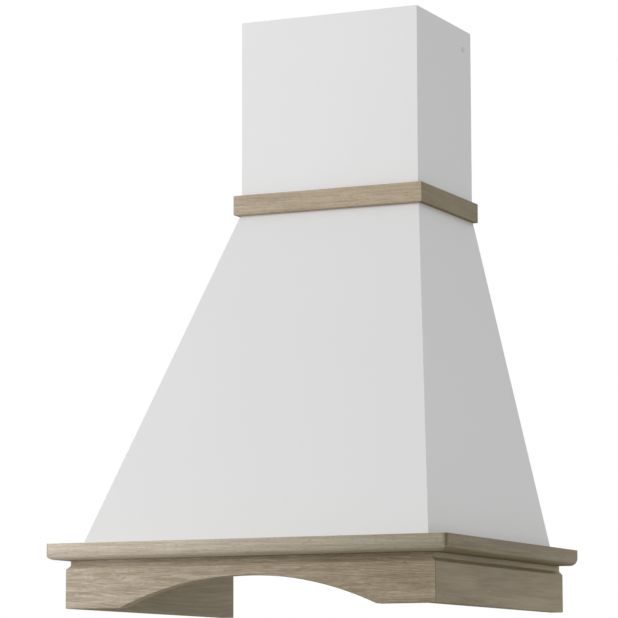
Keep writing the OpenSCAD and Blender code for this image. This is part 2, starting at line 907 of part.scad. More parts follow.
// Diamond openings over the filter's field, in rows that are set off by half a pitch
module diamond_field(x_half, y0, y1) {
    diamond = grille_pitch * 0.5 - 1;
    nx = floor((2 * x_half - grille_pitch) / grille_pitch);
    ny = floor((y1 - y0 - grille_pitch) / grille_pitch);
    for (i = [0 : nx], j = [0 : ny])
        translate([(i - nx / 2) * grille_pitch, (y0 + y1) / 2 + (j - ny / 2) * grille_pitch])
            polygon([[diamond, 0], [0, diamond], [-diamond, 0], [0, -diamond]]);
    for (i = [0 : nx - 1], j = [0 : ny - 1])
        translate([(i + 0.5 - nx / 2) * grille_pitch,
                   (y0 + y1) / 2 + (j + 0.5 - ny / 2) * grille_pitch])
            polygon([[diamond, 0], [0, diamond], [-diamond, 0], [0, -diamond]]);
}

// One grille sheet, notched round the latch's housing
module filter_grille_sheet(z) {
    border = 5;
    translate([0, 0, z])
        linear_extrude(height = grille_t)
            difference() {
                translate([-field_half_w, field_front_y])
                    square([2 * field_half_w, field_rear_y - field_front_y]);
                difference() {
                    diamond_field(field_half_w - border, field_front_y + border, field_rear_y - border);
                    translate([-notch - 3, field_front_y])
                        square([2 * notch + 6, notch_rear_y - field_front_y + 5]);
                }
                translate([-notch, field_front_y - cut])
                    square([2 * notch, notch_rear_y - field_front_y + cut]);
            }
}

module filter_grilles() {
    color(bright_metal) {
        filter_grille_sheet(panel_low_z + sheet + 0.1);
        filter_grille_sheet(filter_top_z - sheet - 0.1 - grille_t);
    }
}

// The pack of knitted metal between the grilles
module filter_mesh() {
    inset = sheet + grille_t + seat_gap;
    color(grey_plastic)
        difference() {
            block([-field_half_w, field_front_y, panel_low_z + inset],
                  [field_half_w, field_rear_y, filter_top_z - inset]);
            block([-notch, field_front_y - cut, panel_low_z], [notch, notch_rear_y, filter_top_z]);
        }
}

// The latch: a flat tongue that passes over the panel's edge, and a grip for a finger
module filter_latch() {
    color(dark_plastic)
        union() {
            block([-latch_w / 2, filter_front_y - tongue_reach, latch_z],
                  [latch_w / 2, filter_front_y + latch_len, latch_z + latch_t]);
            block([-grip_w / 2, latch_grip_y(), panel_low_z - grip_drop],
                  [grip_w / 2, latch_grip_y() + grip_d, latch_z + latch_t / 2]);
        }
}

module filter_left_frame() { translate([-filter_x, 0, 0]) filter_frame(); }
module filter_left_grilles() { translate([-filter_x, 0, 0]) filter_grilles(); }
module filter_left_mesh() { translate([-filter_x, 0, 0]) filter_mesh(); }
module filter_left_latch() { translate([-filter_x, 0, 0]) filter_latch(); }
module filter_right_frame() { translate([filter_x, 0, 0]) filter_frame(); }
module filter_right_grilles() { translate([filter_x, 0, 0]) filter_grilles(); }
module filter_right_mesh() { translate([filter_x, 0, 0]) filter_mesh(); }
module filter_right_latch() { translate([filter_x, 0, 0]) filter_latch(); }

/* Blower */

// Outline of the scroll in [y, z], grown by g: a spiral from the cut-off round to the straight rear wall
function spiral_point(a, g) =
    let (r = g + cutoff_r + scroll_growth * (a - cutoff_angle) / (360 - cutoff_angle))
    [axis_y + r * cos(a), axis_z + r * sin(a)];
cutoff_angle = 90 + asin((axis_y - throat_front_y) / cutoff_r);
// A point round the impeller's axis at radius r and angle a, as [x, y, z]
function round_axis(x, r, a) = [x, axis_y + r * cos(a), axis_z + r * sin(a)];
spiral_steps = 40;

module scroll_outline(g, top) {
    polygon(concat(
        [for (i = [0 : spiral_steps])
            spiral_point(cutoff_angle + (360 - cutoff_angle) * i / spiral_steps, g)],
        [[throat_back_y + g, top], [throat_front_y - g, top]]
    ));
}

// Where the middle of a lug on the joint between the scroll's halves is, in [y, z]
function lug_spot(a) = spiral_point(a, lug_r - 1);

// Radius of the inlet's rounded mouth, and how far the mouth reaches in past the wall
mouth_r = 4;
mouth_depth = 2.5;

// The right half; the left half is its mirror image
module scroll_half() {
    w = scroll_side_x;
    mouth_x = w - scroll_wall - mouth_r - cut;
    color(grey_plastic)
        difference() {
            union() {
                extrude_x(0, w)
                    scroll_outline(scroll_wall, scroll_top_z);
                // The flange under the shelf
                block([0, throat_front_y - scroll_wall - scroll_flange_w, scroll_top_z - scroll_flange_t],
                      [w + scroll_flange_w, throat_back_y + scroll_wall + scroll_flange_w, scroll_top_z]);
                for (a = lug_angles)
                    rod_x([0, lug_spot(a)[0], lug_spot(a)[1]], lug_r, lug_len);
                // The rounded mouth of the inlet
                translate([w - scroll_wall, axis_y, axis_z])
                    rotate([0, 90, 0])
                        rotate_extrude($fn = 96)
                            translate([inlet_d / 2 + mouth_r, 0])
                                circle(r = mouth_r, $fn = 32);
            }
            extrude_x(-cut, w - scroll_wall)
                scroll_outline(0, scroll_top_z + cut);
            rod_x([mouth_x, axis_y, axis_z], inlet_d / 2, 4 * mouth_r);
            // The mouth's ring is cut off level outside and kept clear of the impeller inside
            rod_x([w, axis_y, axis_z], inlet_d / 2 + 3 * mouth_r, 2 * mouth_r);
            rod_x([mouth_x, axis_y, axis_z], inlet_d / 2 + 3 * mouth_r, mouth_r + cut - mouth_depth);
            for (a = lug_angles)
                rod_x([-scroll_w, lug_spot(a)[0], lug_spot(a)[1]], lug_screw_r + 0.05, 2 * scroll_w);
            for (p = collar_screw_spots)
                rod_z([p[0], p[1], scroll_top_z - scroll_flange_t - cut], collar_screw_r + 0.02, 4 * cut);
            for (a = guard_angles)
                rod_x(round_axis(w - scroll_wall - cut, guard_screw_r, a), 1.3, scroll_wall + 2 * cut);
        }
}

module scroll_right_half() { scroll_half(); }
module scroll_left_half() { mirror([1, 0, 0]) scroll_half(); }

// Screws along X that join the scroll's halves at the lugs
module scroll_screws() {
    color(bright_metal)
        for (a = lug_angles)
            translate([lug_len, lug_spot(a)[0], lug_spot(a)[1]])
                rotate([0, 90, 0])
                    pan_screw(lug_screw_r, 2 * lug_len - 1, 3.2, 2);
}

guard_angles = [30, 150, 270];
guard_screw_r = inlet_d / 2 + 7;

// The finger guard over the right-hand inlet: rings on three spokes
module inlet_grille() {
    t = 2;
    ring = 2.4;
    outer = inlet_d / 2 + 3;
    color(dark_plastic)
        translate([scroll_side_x, axis_y, axis_z])
            rotate([90, 0, 90])
                difference() {
                    linear_extrude(height = t)
                        union() {
                            for (r = [outer, outer * 0.8, outer * 0.6, outer * 0.4])
                                difference() {
                                    circle(r = r, $fn = 96);
                                    circle(r = r - ring, $fn = 96);
                                }
                            circle(r = outer * 0.22, $fn = 48);
                            for (a = guard_angles)
                                rotate(a) {
                                    translate([0, -2])
                                        square([outer, 4]);
                                    translate([guard_screw_r, 0])
                                        circle(r = 5);
                                    translate([outer - 3, -3])
                                        square([8, 6]);
                                }
                        }
                    for (a = guard_angles)
                        rotate(a)
                            translate([guard_screw_r, 0, -cut])
                                cylinder(r = 1.5, h = t + 2 * cut);
                }
}

// One forward-curved blade in plan, between the impeller's inner and outer radius
blade_sweep = 0.16;
blade_steps = 4;

module blade(r_out) {
    polygon(concat(
        [for (i = [0 : blade_steps]) blade_point(r_out, i / blade_steps, blade_t / 2)],
        [for (i = [blade_steps : -1 : 0]) blade_point(r_out, i / blade_steps, -blade_t / 2)]
    ));
}

// A point of the blade's outline at a share of its chord, set off to one side of its middle line
function blade_point(r_out, share, side) =
    let (rho = r_out - blade_chord * (1 - share),
         slope = rho * 2 * blade_sweep * share / blade_chord,
         long = sqrt(1 + slope * slope),
         r = rho - side * slope / long,
         a = (blade_sweep * share * share + side / long / rho) * 180 / PI)
    [r * cos(a), r * sin(a)];

// The double-inlet impeller: a disc, its hub, blades on both sides and a ring at each end
module impeller() {
    r = impeller_d / 2;
    half = impeller_w / 2;
    color(bright_metal)
        translate([0, axis_y, axis_z])
            rotate([0, 90, 0])
                difference() {
                    union() {
                        translate([0, 0, -hub_disc_t / 2])
                            cylinder(r = r, h = hub_disc_t, $fn = 96);
                        translate([0, 0, -hub_disc_t / 2])
                            cylinder(r = hub_r, h = hub_len);
                        translate([0, 0, -half])
                            linear_extrude(height = impeller_w)
                                for (i = [0 : blade_count - 1])
                                    rotate(i * 360 / blade_count)
                                        blade(r - 1);
                        for (z = [-half, half - end_ring_t])
                            translate([0, 0, z])
                                difference() {
                                    cylinder(r = r, h = end_ring_t, $fn = 96);
                                    translate([0, 0, -cut])
                                        cylinder(r = r - end_ring_w, h = end_ring_t + 2 * cut, $fn = 96);
                                }
                    }
                    translate([0, 0, -half])
                        cylinder(r = shaft_d / 2 + 0.02, h = impeller_w);
                }
}

// The shaft, from inside the motor to the end of the hub
module impeller_shaft() {
    color(bright_metal)
        rod_x([motor_inner_x - shaft_in_motor, axis_y, axis_z], shaft_d / 2,
              hub_len - hub_disc_t / 2 + shaft_tip - motor_inner_x + shaft_in_motor);
}

// How long the end cover by the side wall is, how much narrower it is, and the boss round the bore
motor_cap_len = 8;
motor_cap_step = 6;
motor_boss_len = 6;
motor_boss_r = 12;

// The motor's can, its end covers and their ribs, with a bore for the shaft
module motor() {
    r = motor_d / 2;
    x0 = -scroll_side_x;
    x1 = motor_inner_x;
    color(zinc)
        difference() {
            union() {
                rod_x([x0 + motor_cap_len, axis_y, axis_z], r, x1 - x0 - motor_cap_len - motor_boss_len);
                rod_x([x0, axis_y, axis_z], r - motor_cap_step, x1 - x0 - motor_boss_len / 2);
                rod_x([x1 - motor_boss_len, axis_y, axis_z], motor_boss_r, motor_boss_len);
                for (a = [0 : 45 : 315])
                    translate([0, axis_y, axis_z])
                        rotate([a, 0, 0])
                            block([x0 + motor_cap_len + 2, 0, -2], [x1 - motor_boss_len - 2, r + 1.5, 2]);
            }
            rod_x([x1 - motor_bore_len, axis_y, axis_z], shaft_d / 2 + 0.05, motor_bore_len + cut);
            for (a = motor_stud_angles)
                rod_x(round_axis(x0 - cut, motor_stud_r, a), 1.95, 9);
        }
}

motor_stud_angles = [90, 210, 330];
motor_stud_r = 24;
motor_bracket_r = 32;
motor_bracket_arm_w = 14;

// A flat bracket with three arms, from the motor's end to the scroll's side
module motor_bracket() {
    t = 2;
    color(zinc)
        translate([-scroll_side_x - t, axis_y, axis_z])
            rotate([90, 0, 90])
                difference() {
                    linear_extrude(height = t)
                        union() {
                            circle(r = motor_bracket_r);
                            for (a = motor_stud_angles)
                                rotate(a + 60) {
                                    translate([0, -motor_bracket_arm_w / 2])
                                        square([guard_screw_r, motor_bracket_arm_w]);
                                    translate([guard_screw_r, 0])
                                        circle(r = motor_bracket_arm_w / 2);
                                }
                        }
                    for (a = motor_stud_angles) {
                        rotate(a)
                            translate([motor_stud_r, 0, -cut])
                                cylinder(r = 2, h = t + 2 * cut);
                        rotate(a + 60)
                            translate([guard_screw_r, 0, -cut])
                                cylinder(r = 1.7, h = t + 2 * cut);
                    }
                    translate([0, 0, -cut])
                        cylinder(r = 8, h = t + 2 * cut);
                }
}

// Screws of the motor, of its bracket and of the finger guard
module motor_nuts() {
    color(bright_metal) {
        for (a = motor_stud_angles) {
            translate(round_axis(-scroll_side_x - 2, motor_stud_r, a))
                rotate([0, -90, 0])
                    pan_screw(1.9, 9, 3.5, 2.2);
            translate(round_axis(-scroll_side_x - 2, guard_screw_r, a + 60))
                rotate([0, -90, 0])
                    pan_screw(1.25, 4, 3, 1.8);
        }
        for (a = guard_angles)
            translate(round_axis(scroll_side_x + 2, guard_screw_r, a))
                rotate([0, 90, 0])
                    pan_screw(1.25, 4, 3, 1.8);
    }
}

/* Outlet and damper */

collar_screw_r = 1.9;
collar_screw_spots = [
    for (x = [-1, 1], y = [-1, 1])
        [x * (scroll_side_x + scroll_flange_w / 2), outlet_y + y * (throat_d / 2 - 12)]
];

// The round outlet on its square flange, with a ledge and bearing blocks for the flaps
module outlet_collar() {
    inner = outlet_r - outlet_wall;
    half = outlet_flange_w / 2;
    color(dark_plastic)
        translate([0, outlet_y, 0])
            difference() {
                union() {
                    block([-half, -half, collar_z], [half, half, collar_z + outlet_flange_t]);
                    rod_z([0, 0, collar_z], outlet_r, outlet_flange_t + outlet_h, $fn = 96);
                }
                difference() {
                    rod_z([0, 0, collar_z - cut], inner, outlet_h + 10, $fn = 96);
                    // The ledge that the shut flaps rest on
                    difference() {
                        rod_z([0, 0, damper_z - damper_t / 2 - seat_gap - 2], inner + cut, 2, $fn = 96);
                        rod_z([0, 0, damper_z - 6], inner - ledge_w, 8, $fn = 96);
                    }
                    // The bearing blocks and the spine between the flaps
                    for (s = [-1, 1])
                        block([-10, s > 0 ? bearing_y : -outlet_r, damper_z - 4],
                              [10, s > 0 ? outlet_r : -bearing_y, damper_z + 4]);
                    block([-1.5, -outlet_r, damper_z - 6], [1.5, outlet_r, damper_z + 4]);
                }
                for (x = [-damper_x, damper_x])
                    rod_y([x, -bearing_y - 8, damper_z], bearing_hole_r, 2 * bearing_y + 16);
                for (p = collar_screw_spots)
                    rod_z([p[0], p[1] - outlet_y, collar_z - cut], collar_screw_r + 0.3, 5 * cut);
            }
}

// Screws through the outlet's flange and the shelf into the scroll's flange
module collar_screws() {
    color(bright_metal)
        for (p = collar_screw_spots)
            translate([p[0], p[1], collar_z + outlet_flange_t])
                pan_screw(collar_screw_r, outlet_flange_t + plate_t + scroll_flange_t + 2, 3.5, 2);
}

// One flap, hinged beside the spine: a part-disc on a barrel with a pin at each end
module damper_flap() {
    r = outlet_r - outlet_wall - 0.8;
    barrel = bearing_y - 0.5;
    clear_x = 13;
    color(bright_metal)
        translate([0, outlet_y, damper_z]) {
            translate([0, 0, -damper_t / 2])
                linear_extrude(height = damper_t)
                    intersection() {
                        circle(r = r, $fn = 96);
                        union() {
                            translate([damper_x, -barrel])
                                square([r, 2 * barrel]);
                            translate([clear_x, -r])
                                square([r, 2 * r]);
                        }
                    }
            rod_y([damper_x, -barrel, 0], knuckle_r, 2 * barrel);
            rod_y([damper_x, -barrel - 6, 0], damper_pin_r, 2 * barrel + 12);
        }
}

module damper_flap_right() { damper_flap(); }
module damper_flap_left() { mirror([1, 0, 0]) damper_flap(); }

/* Electrical parts on the back plate */

cap_r = 15;
cap_len = 55;
strap_h = 14;
strap_t = 1.2;
strap_foot = 14;
cap_z = axis_z + 20;
cap_side_gap = 63;
cap_x = cap_side_gap - canopy_half_w(cap_z + cap_len);
cap_y = -plate_t - 2 - cap_r;
strap_z = cap_z + 16;
strap_screw = [cap_x - cap_r - 8, strap_z + strap_h / 2];

module capacitor() {
    color(dark_plastic)
        union() {
            rod_z([cap_x, cap_y, cap_z], cap_r, cap_len);
            rod_z([cap_x, cap_y, cap_z + cap_len], cap_r - 3, 3);
        }
}

// The strap that holds the capacitor to the back plate
module capacitor_strap() {
    r = cap_r + strap_t;
    top_z = strap_z + strap_h;
    color(zinc)
        difference() {
            union() {
                rod_z([cap_x, cap_y, strap_z], r, strap_h);
                block([cap_x - cap_r - strap_foot, -plate_t - strap_t, strap_z],
                      [cap_x + r, -plate_t, top_z]);
                block([cap_x - r, cap_y, strap_z], [cap_x + r, -plate_t, top_z]);
            }
            rod_z([cap_x, cap_y, strap_z - cut], cap_r + 0.1, strap_h + 2 * cut);
            rod_y([strap_screw[0], -plate_t - 3, strap_screw[1]], 1.95, 4);
        }
}

jbox_size = [84, 36, 66];
jbox_low_z = axis_z - 10;
jbox_side_gap = 14;
jbox_low = [canopy_half_w(jbox_low_z + jbox_size[2]) - jbox_side_gap - jbox_size[0], 0, jbox_low_z];
jbox_wall = 2;

module junction_box() {
    low = [jbox_low[0], -plate_t - jbox_size[1], jbox_low[2]];
    high = [low[0] + jbox_size[0], -plate_t, low[2] + jbox_size[2]];
    w = jbox_wall;
    color(grey_plastic)
        difference() {
            union() {
                difference() {
                    block(low, high);
                    block([low[0] + w, low[1] - cut, low[2] + w], [high[0] - w, high[1] - w, high[2] - w]);
                }
                // Posts for the lid's two screws
                for (p = jbox_lid_spots)
                    rod_y([p[0], low[1], p[1]], 4, jbox_size[1] - w / 2);
            }
            for (p = jbox_lid_spots)
                rod_y([p[0], low[1] - cut, p[1]], 1.3, 14);
            rod_z([gland_x, gland_y, high[2] - w - cut], gland_r, w + 2 * cut);
        }
}

jbox_lid_spots = [
    [jbox_low[0] + 7, jbox_low[2] + 7],
    [jbox_low[0] + jbox_size[0] - 7, jbox_low[2] + jbox_size[2] - 7]
];
lid_t = 2;
gland_r = 8;
gland_inset = 30;
gland_x = jbox_low[0] + gland_inset;
gland_y = -plate_t - jbox_size[1] / 2;

module junction_box_lid() {
    y0 = -plate_t - jbox_size[1] - lid_t;
    color(grey_plastic)
        difference() {
            union() {
                block([jbox_low[0], y0, jbox_low[2]],
                      [jbox_low[0] + jbox_size[0], y0 + lid_t, jbox_low[2] + jbox_size[2]]);
                block([jbox_low[0] + 14, y0 - 1, jbox_low[2] + 14],
                      [jbox_low[0] + jbox_size[0] - 14, y0 + lid_t / 2, jbox_low[2] + jbox_size[2] - 14]);
            }
            for (p = jbox_lid_spots)
                rod_y([p[0], y0 - cut, p[1]], 1.6, lid_t + 2 * cut);
        }
}

// A row of terminals on the junction box's rear wall
terminal_count = 5;
terminal_pitch = 9;

module terminal_block() {
    x0 = jbox_low[0] + (jbox_size[0] - terminal_count * terminal_pitch) / 2;
    y1 = -plate_t - jbox_wall;
    z0 = jbox_low[2] + 16;
    color(white_paint)
        difference() {
            union() {
                block([x0, y1 - 9, z0], [x0 + terminal_count * terminal_pitch, y1, z0 + 18]);
                for (i = [0 : terminal_count - 1])
                    block([x0 + (i + 0.5) * terminal_pitch - 3, y1 - 15, z0 + 2],
                          [x0 + (i + 0.5) * terminal_pitch + 3, y1 - 8, z0 + 16]);
            }
            for (i = [0 : terminal_count - 1]) {
                x = x0 + (i + 0.5) * terminal_pitch;
                rod_z([x, y1 - 6, z0 - cut], 1.8, 20);
                rod_y([x, y1 - 16, z0 + 9], 1.9, 6);
            }
        }
}

// The gland that the supply cable enters through, in the box's top
module cable_gland() {
    z = jbox_low[2] + jbox_size[2];
    color(dark_plastic)
        difference() {
            union() {
                rod_z([gland_x, gland_y, z - 6], gland_r - 0.05, 8);
                translate([gland_x, gland_y, z])
                    cylinder(r = 11, h = 5, $fn = 6);
                rod_z([gland_x, gland_y, z + 4], 8.5, 12);
                translate([gland_x, gland_y, z - 6])
                    cylinder(r = 10.5, h = 3.7, $fn = 6);
            }
            rod_z([gland_x, gland_y, z - 10], 4.2, 40);
        }
}

driver_size = [110, 24, 42];
driver_rise = 40;
driver_side_gap = 43;
driver_low = [driver_side_gap - canopy_half_w(foot_z + driver_rise + driver_size[2]),
              -plate_t - driver_size[1], foot_z + driver_rise];

// The lamps' driver: a closed box with a foot at each end
module lamp_driver() {
    low = driver_low;
    high = [low[0] + driver_size[0], -plate_t, low[2] + driver_size[2]];
    color(white_paint)
        difference() {
            union() {
                block([low[0] + 12, low[1], low[2]], [high[0] - 12, high[1], high[2]]);
                block([low[0], -plate_t - 3, low[2] + 10], [high[0], -plate_t, high[2] - 10]);
            }
            for (x = [low[0] + 6, high[0] - 6])
                rod_y([x, -plate_t - 5, (low[2] + high[2]) / 2], 2, 6);
        }
}

// Screws of the strap, the lid and the lamp driver
module electrical_screws() {
    color(bright_metal) {
        translate([strap_screw[0], -plate_t - strap_t, strap_screw[1]])
            rotate([90, 0, 0])
                pan_screw(1.9, strap_t, 3.2, 1.8);
        for (p = jbox_lid_spots)
            translate([p[0], -plate_t - jbox_size[1] - lid_t, p[1]])
                rotate([90, 0, 0])
                    pan_screw(1.25, 12, 2.8, 1.6);
        for (x = [driver_low[0] + 6, driver_low[0] + driver_size[0] - 6])
            translate([x, -plate_t - 3, driver_low[2] + driver_size[2] / 2])
                rotate([90, 0, 0])
                    pan_screw(1.9, 3, 3.2, 1.8);
    }
}

/* Lamps */

module both_lamps() {
    for (s = [-1, 1])
        translate([s * lamp_spacing / 2, strip_y, 0])
            children();
}

// A cup above the panel
module lamp_housings() {
    r = lamp_d / 2;
    color(zinc)
        both_lamps()
            translate([0, 0, tray_z])
                rotate_extrude($fn = 64)
                    polygon([
                        [r + 0.2, 0], [r + 5, 0], [r + 5, 1.2], [r + lamp_wall, 1.2],
                        [r * 0.75, lamp_depth], [0, lamp_depth], [0, lamp_depth - lamp_wall],
                        [r * 0.75 - lamp_wall, lamp_depth - lamp_wall], [r + 0.2, 1.2]
                    ]);
}

// The rim below the panel, with a collar that goes up through the hole
module lamp_bezels() {
    r = lamp_d / 2;
    color(bright_metal)
        both_lamps()
            translate([0, 0, panel_low_z])
                rotate_extrude($fn = 64)
                    polygon([
                        [r - 4, -0.8], [r - 2, -2.2], [r + lamp_rim - 1.5, -2.2], [r + lamp_rim, 0],
                        [r - 0.1, 0], [r - 0.1, panel_t + 0.8], [r - 1.3, panel_t + 0.8],
                        [r - 1.3, 0], [r - 4, 0]
                    ]);
}

// The glass, which lies on the bezel's inner edge
module lamp_lenses() {
    r = lamp_d / 2;
    color("white", 0.5)
        both_lamps()
            translate([0, 0, panel_low_z])
                rotate_extrude($fn = 64)
                    polygon([[0, 0], [r - 1.5, 0], [r - 1.5, 1.5], [r - 6, 1.5], [0, 2.6]]);
}

/* Controls */

button_x = [for (i = [0 : button_count - 1]) (i - (button_count - 1) / 2) * button_pitch];

// A plate with rounded ends
module stadium(w, d) {
    for (x = [-1, 1])
        translate([x * (w - d) / 2, 0])
            circle(r = d / 2);
    square([w - d, d], center = true);
}

// A rounded rectangle in plan
module pad(w, d, r) {
    for (x = [-1, 1], y = [-1, 1])
        translate([x * (w / 2 - r), y * (d / 2 - r)])
            circle(r = r);
    square([w - 2 * r, d], center = true);
    square([w, d - 2 * r], center = true);
}

module control_bezel() {
    color(bright_metal)
        translate([0, strip_y, panel_low_z - bezel_t])
            difference() {
                linear_extrude(height = bezel_t)
                    stadium(bezel_w, bezel_d);
                for (x = button_x)
                    translate([x, 0, -cut])
                        linear_extrude(height = bezel_t + 2 * cut)
                            pad(button_w + 0.6, button_d + 0.6, 2.3);
            }
}

// The switch housing above the panel, with a cell for each button
module control_box() {
    cell_w = button_pitch - 4;
    cell_d = control_d - 5;
    color(dark_plastic)
        difference() {
            block([-control_w / 2 + 0.2, strip_y - control_d / 2 + 0.2, panel_low_z],
                  [control_w / 2 - 0.2, strip_y + control_d / 2 - 0.2, panel_low_z + control_h]);
            for (x = button_x)
                block([x - cell_w / 2, strip_y - cell_d / 2, panel_low_z - cut],
                      [x + cell_w / 2, strip_y + cell_d / 2, panel_low_z + control_h - 6]);
        }
}

// One push button: the cap, a flange that keeps it in and a stem
module button(i) {
    foot = panel_low_z;
    translate([button_x[i], strip_y, 0]) {
        translate([0, 0, foot - bezel_t - button_proud])
            linear_extrude(height = bezel_t + button_proud + 1)
                pad(button_w, button_d, 2);
        translate([0, 0, foot + seat_gap])
            linear_extrude(height = 1.5)
                pad(button_w + 3, button_d + 3, 2);
        translate([0, 0, foot])
            cylinder(r = 3, h = 8);
    }
}

module button_light() { color(bright_metal) button(0); }
module button_off() { color(bright_metal) button(1); }
module button_speed_1() { color(bright_metal) button(2); }
module button_speed_2() { color(bright_metal) button(3); }
module button_speed_3() { color(bright_metal) button(4); }

moulding_front();
moulding_left();
moulding_right();
apron_front();
apron_left();
apron_right();
corner_blocks();
frame_screws();
band_front();
band_left();
band_right();
canopy_shell();
back_plate();
motor_shelf();
sheet_rivets();
underside_panel();
panel_screws();
chimney_cover();
chimney_bracket();
chimney_screws();
filter_left_frame();
filter_left_grilles();
filter_left_mesh();
filter_left_latch();
filter_right_frame();
filter_right_grilles();
filter_right_mesh();
filter_right_latch();
scroll_left_half();
scroll_right_half();
scroll_screws();
inlet_grille();
impeller();
impeller_shaft();
motor();
motor_bracket();
motor_nuts();
outlet_collar();
collar_screws();
damper_flap_left();
damper_flap_right();
capacitor();
capacitor_strap();
junction_box();
junction_box_lid();
terminal_block();
cable_gland();
lamp_driver();
electrical_screws();
lamp_housings();
lamp_lenses();
lamp_bezels();
control_box();
control_bezel();
button_light();
button_off();
button_speed_1();
button_speed_2();
button_speed_3();
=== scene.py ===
"""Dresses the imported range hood: powder-coated steel, weathered oak and what is under them."""

import logging
import math
from dataclasses import dataclass
from enum import Enum
from typing import Any, ClassVar, Dict, Optional, Tuple, Union

import bmesh
import bpy
from mathutils import Matrix, Vector


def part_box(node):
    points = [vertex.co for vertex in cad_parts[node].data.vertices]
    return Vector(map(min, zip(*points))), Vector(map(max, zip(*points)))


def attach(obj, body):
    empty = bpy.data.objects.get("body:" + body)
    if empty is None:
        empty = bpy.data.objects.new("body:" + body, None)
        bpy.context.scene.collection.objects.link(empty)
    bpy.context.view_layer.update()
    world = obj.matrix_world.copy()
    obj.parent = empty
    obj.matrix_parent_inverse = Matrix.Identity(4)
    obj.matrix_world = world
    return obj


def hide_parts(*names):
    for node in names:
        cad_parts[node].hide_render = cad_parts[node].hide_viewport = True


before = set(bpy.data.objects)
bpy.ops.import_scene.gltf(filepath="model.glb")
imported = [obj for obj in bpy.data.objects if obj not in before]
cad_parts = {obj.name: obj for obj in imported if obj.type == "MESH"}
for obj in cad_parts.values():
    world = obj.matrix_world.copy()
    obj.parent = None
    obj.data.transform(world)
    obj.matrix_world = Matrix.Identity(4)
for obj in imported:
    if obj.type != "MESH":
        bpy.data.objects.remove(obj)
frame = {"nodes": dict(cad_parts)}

logging.basicConfig(level=logging.INFO, format="%(name)s: %(message)s")
LOG = logging.getLogger("range_hood")

Colour = Tuple[float, float, float]
Point = Tuple[float, float, float]
Span = Tuple[float, float]
WHITE: Colour = (1.0, 1.0, 1.0)
ORIGIN: Point = (0.0, 0.0, 0.0)
MIDDLE = 0.5


class Grain(Enum):
    """The row axis that a board's grain, or a metal's brushing, runs along."""

    ALONG_X = (0.0, 0.0, 0.0)
    ALONG_Y = (0.0, 0.0, -math.pi / 2)
    ALONG_Z = (0.0, math.pi / 2, 0.0)


class Edge(Enum):
    """The width of a piece's softened edges, in metres."""

    SHARP = 0.0
    FASTENER = 0.0002
    THIN_FOLD = 0.00021
    FINE = 0.0003
    FOLD = 0.00035
    SMALL = 0.0004
    HOUSING = 0.0005
    BLOCK = 0.0006
    BOARD = 0.0009


def srgb(red: int, green: int, blue: int) -> Colour:
    """Turns a screen colour into linear light.

    Args:
        red: the red level, 0 to 255.
        green: the green level, 0 to 255.
        blue: the blue level, 0 to 255.

    Returns:
        The linear colour that a shader needs.
    """
    top, knee, slope, lift, power = 255, 0.04045, 12.92, 0.055, 2.4

    def one(level: int) -> float:
        """Linear value of one channel."""
        share = level / top
        return share / slope if share <= knee else ((share + lift) / (1.0 + lift)) ** power

    return one(red), one(green), one(blue)


def toned(colour: Colour, factor: float, lift: float = 0.0) -> Colour:
    """A darker or lighter tone of a colour.

    Args:
        colour: the colour.
        factor: what each part of it is multiplied by.
        lift: what is added to each part.

    Returns:
        The tone, with no part above 1.
    """
    return tuple(min(1.0, part * factor + lift) for part in colour)


class Shade:
    """A shader socket that Python's operators add Math nodes to."""

    def __init__(self, graph: "Graph", socket: bpy.types.NodeSocket) -> None:
        """Args:
            graph: the graph that new nodes are added to.
            socket: the output that this value stands for.
        """
        self.graph = graph
        self.socket = socket

    def __add__(self, other: "Operand") -> "Shade":
        """Sum."""
        return self.graph.math("ADD", self, other)

    def __radd__(self, other: "Operand") -> "Shade":
        """Sum with a number on the left."""
        return self.graph.math("ADD", other, self)

    def __sub__(self, other: "Operand") -> "Shade":
        """Difference."""
        return self.graph.math("SUBTRACT", self, other)

    def __rsub__(self, other: "Operand") -> "Shade":
        """Difference with a number on the left."""
        return self.graph.math("SUBTRACT", other, self)

    def __mul__(self, other: "Operand") -> "Shade":
        """Product."""
        return self.graph.math("MULTIPLY", self, other)

    def __truediv__(self, other: "Operand") -> "Shade":
        """Quotient."""
        return self.graph.math("DIVIDE", self, other)

    def fraction(self) -> "Shade":
        """The part after the decimal point."""
        return self.graph.math("FRACT", self)

    def root(self) -> "Shade":
        """Square root."""
        return self.graph.math("SQRT", self)

    def swing(self, size: float) -> "Shade":
        """Centres a value between 0 and 1 on zero.

        Args:
            size: the distance between its lowest and its highest value afterwards.

        Returns:
            The centred value.
        """
        return (self - MIDDLE) * size

    def step(self, low: float, high: float) -> "Shade":
        """A smooth step from 0 at low to 1 at high.

        Args:
            low: the value where the step starts.
            high: the value where it ends; it may be below low.

        Returns:
            The stepped value.
        """
        made = self.graph.node(
            "ShaderNodeMapRange",
            {"interpolation_type": "SMOOTHSTEP"},
            {"Value": self, "From Min": low, "From Max": high},
        )
        return Shade(self.graph, made.outputs["Result"])


Operand = Union[Shade, float]


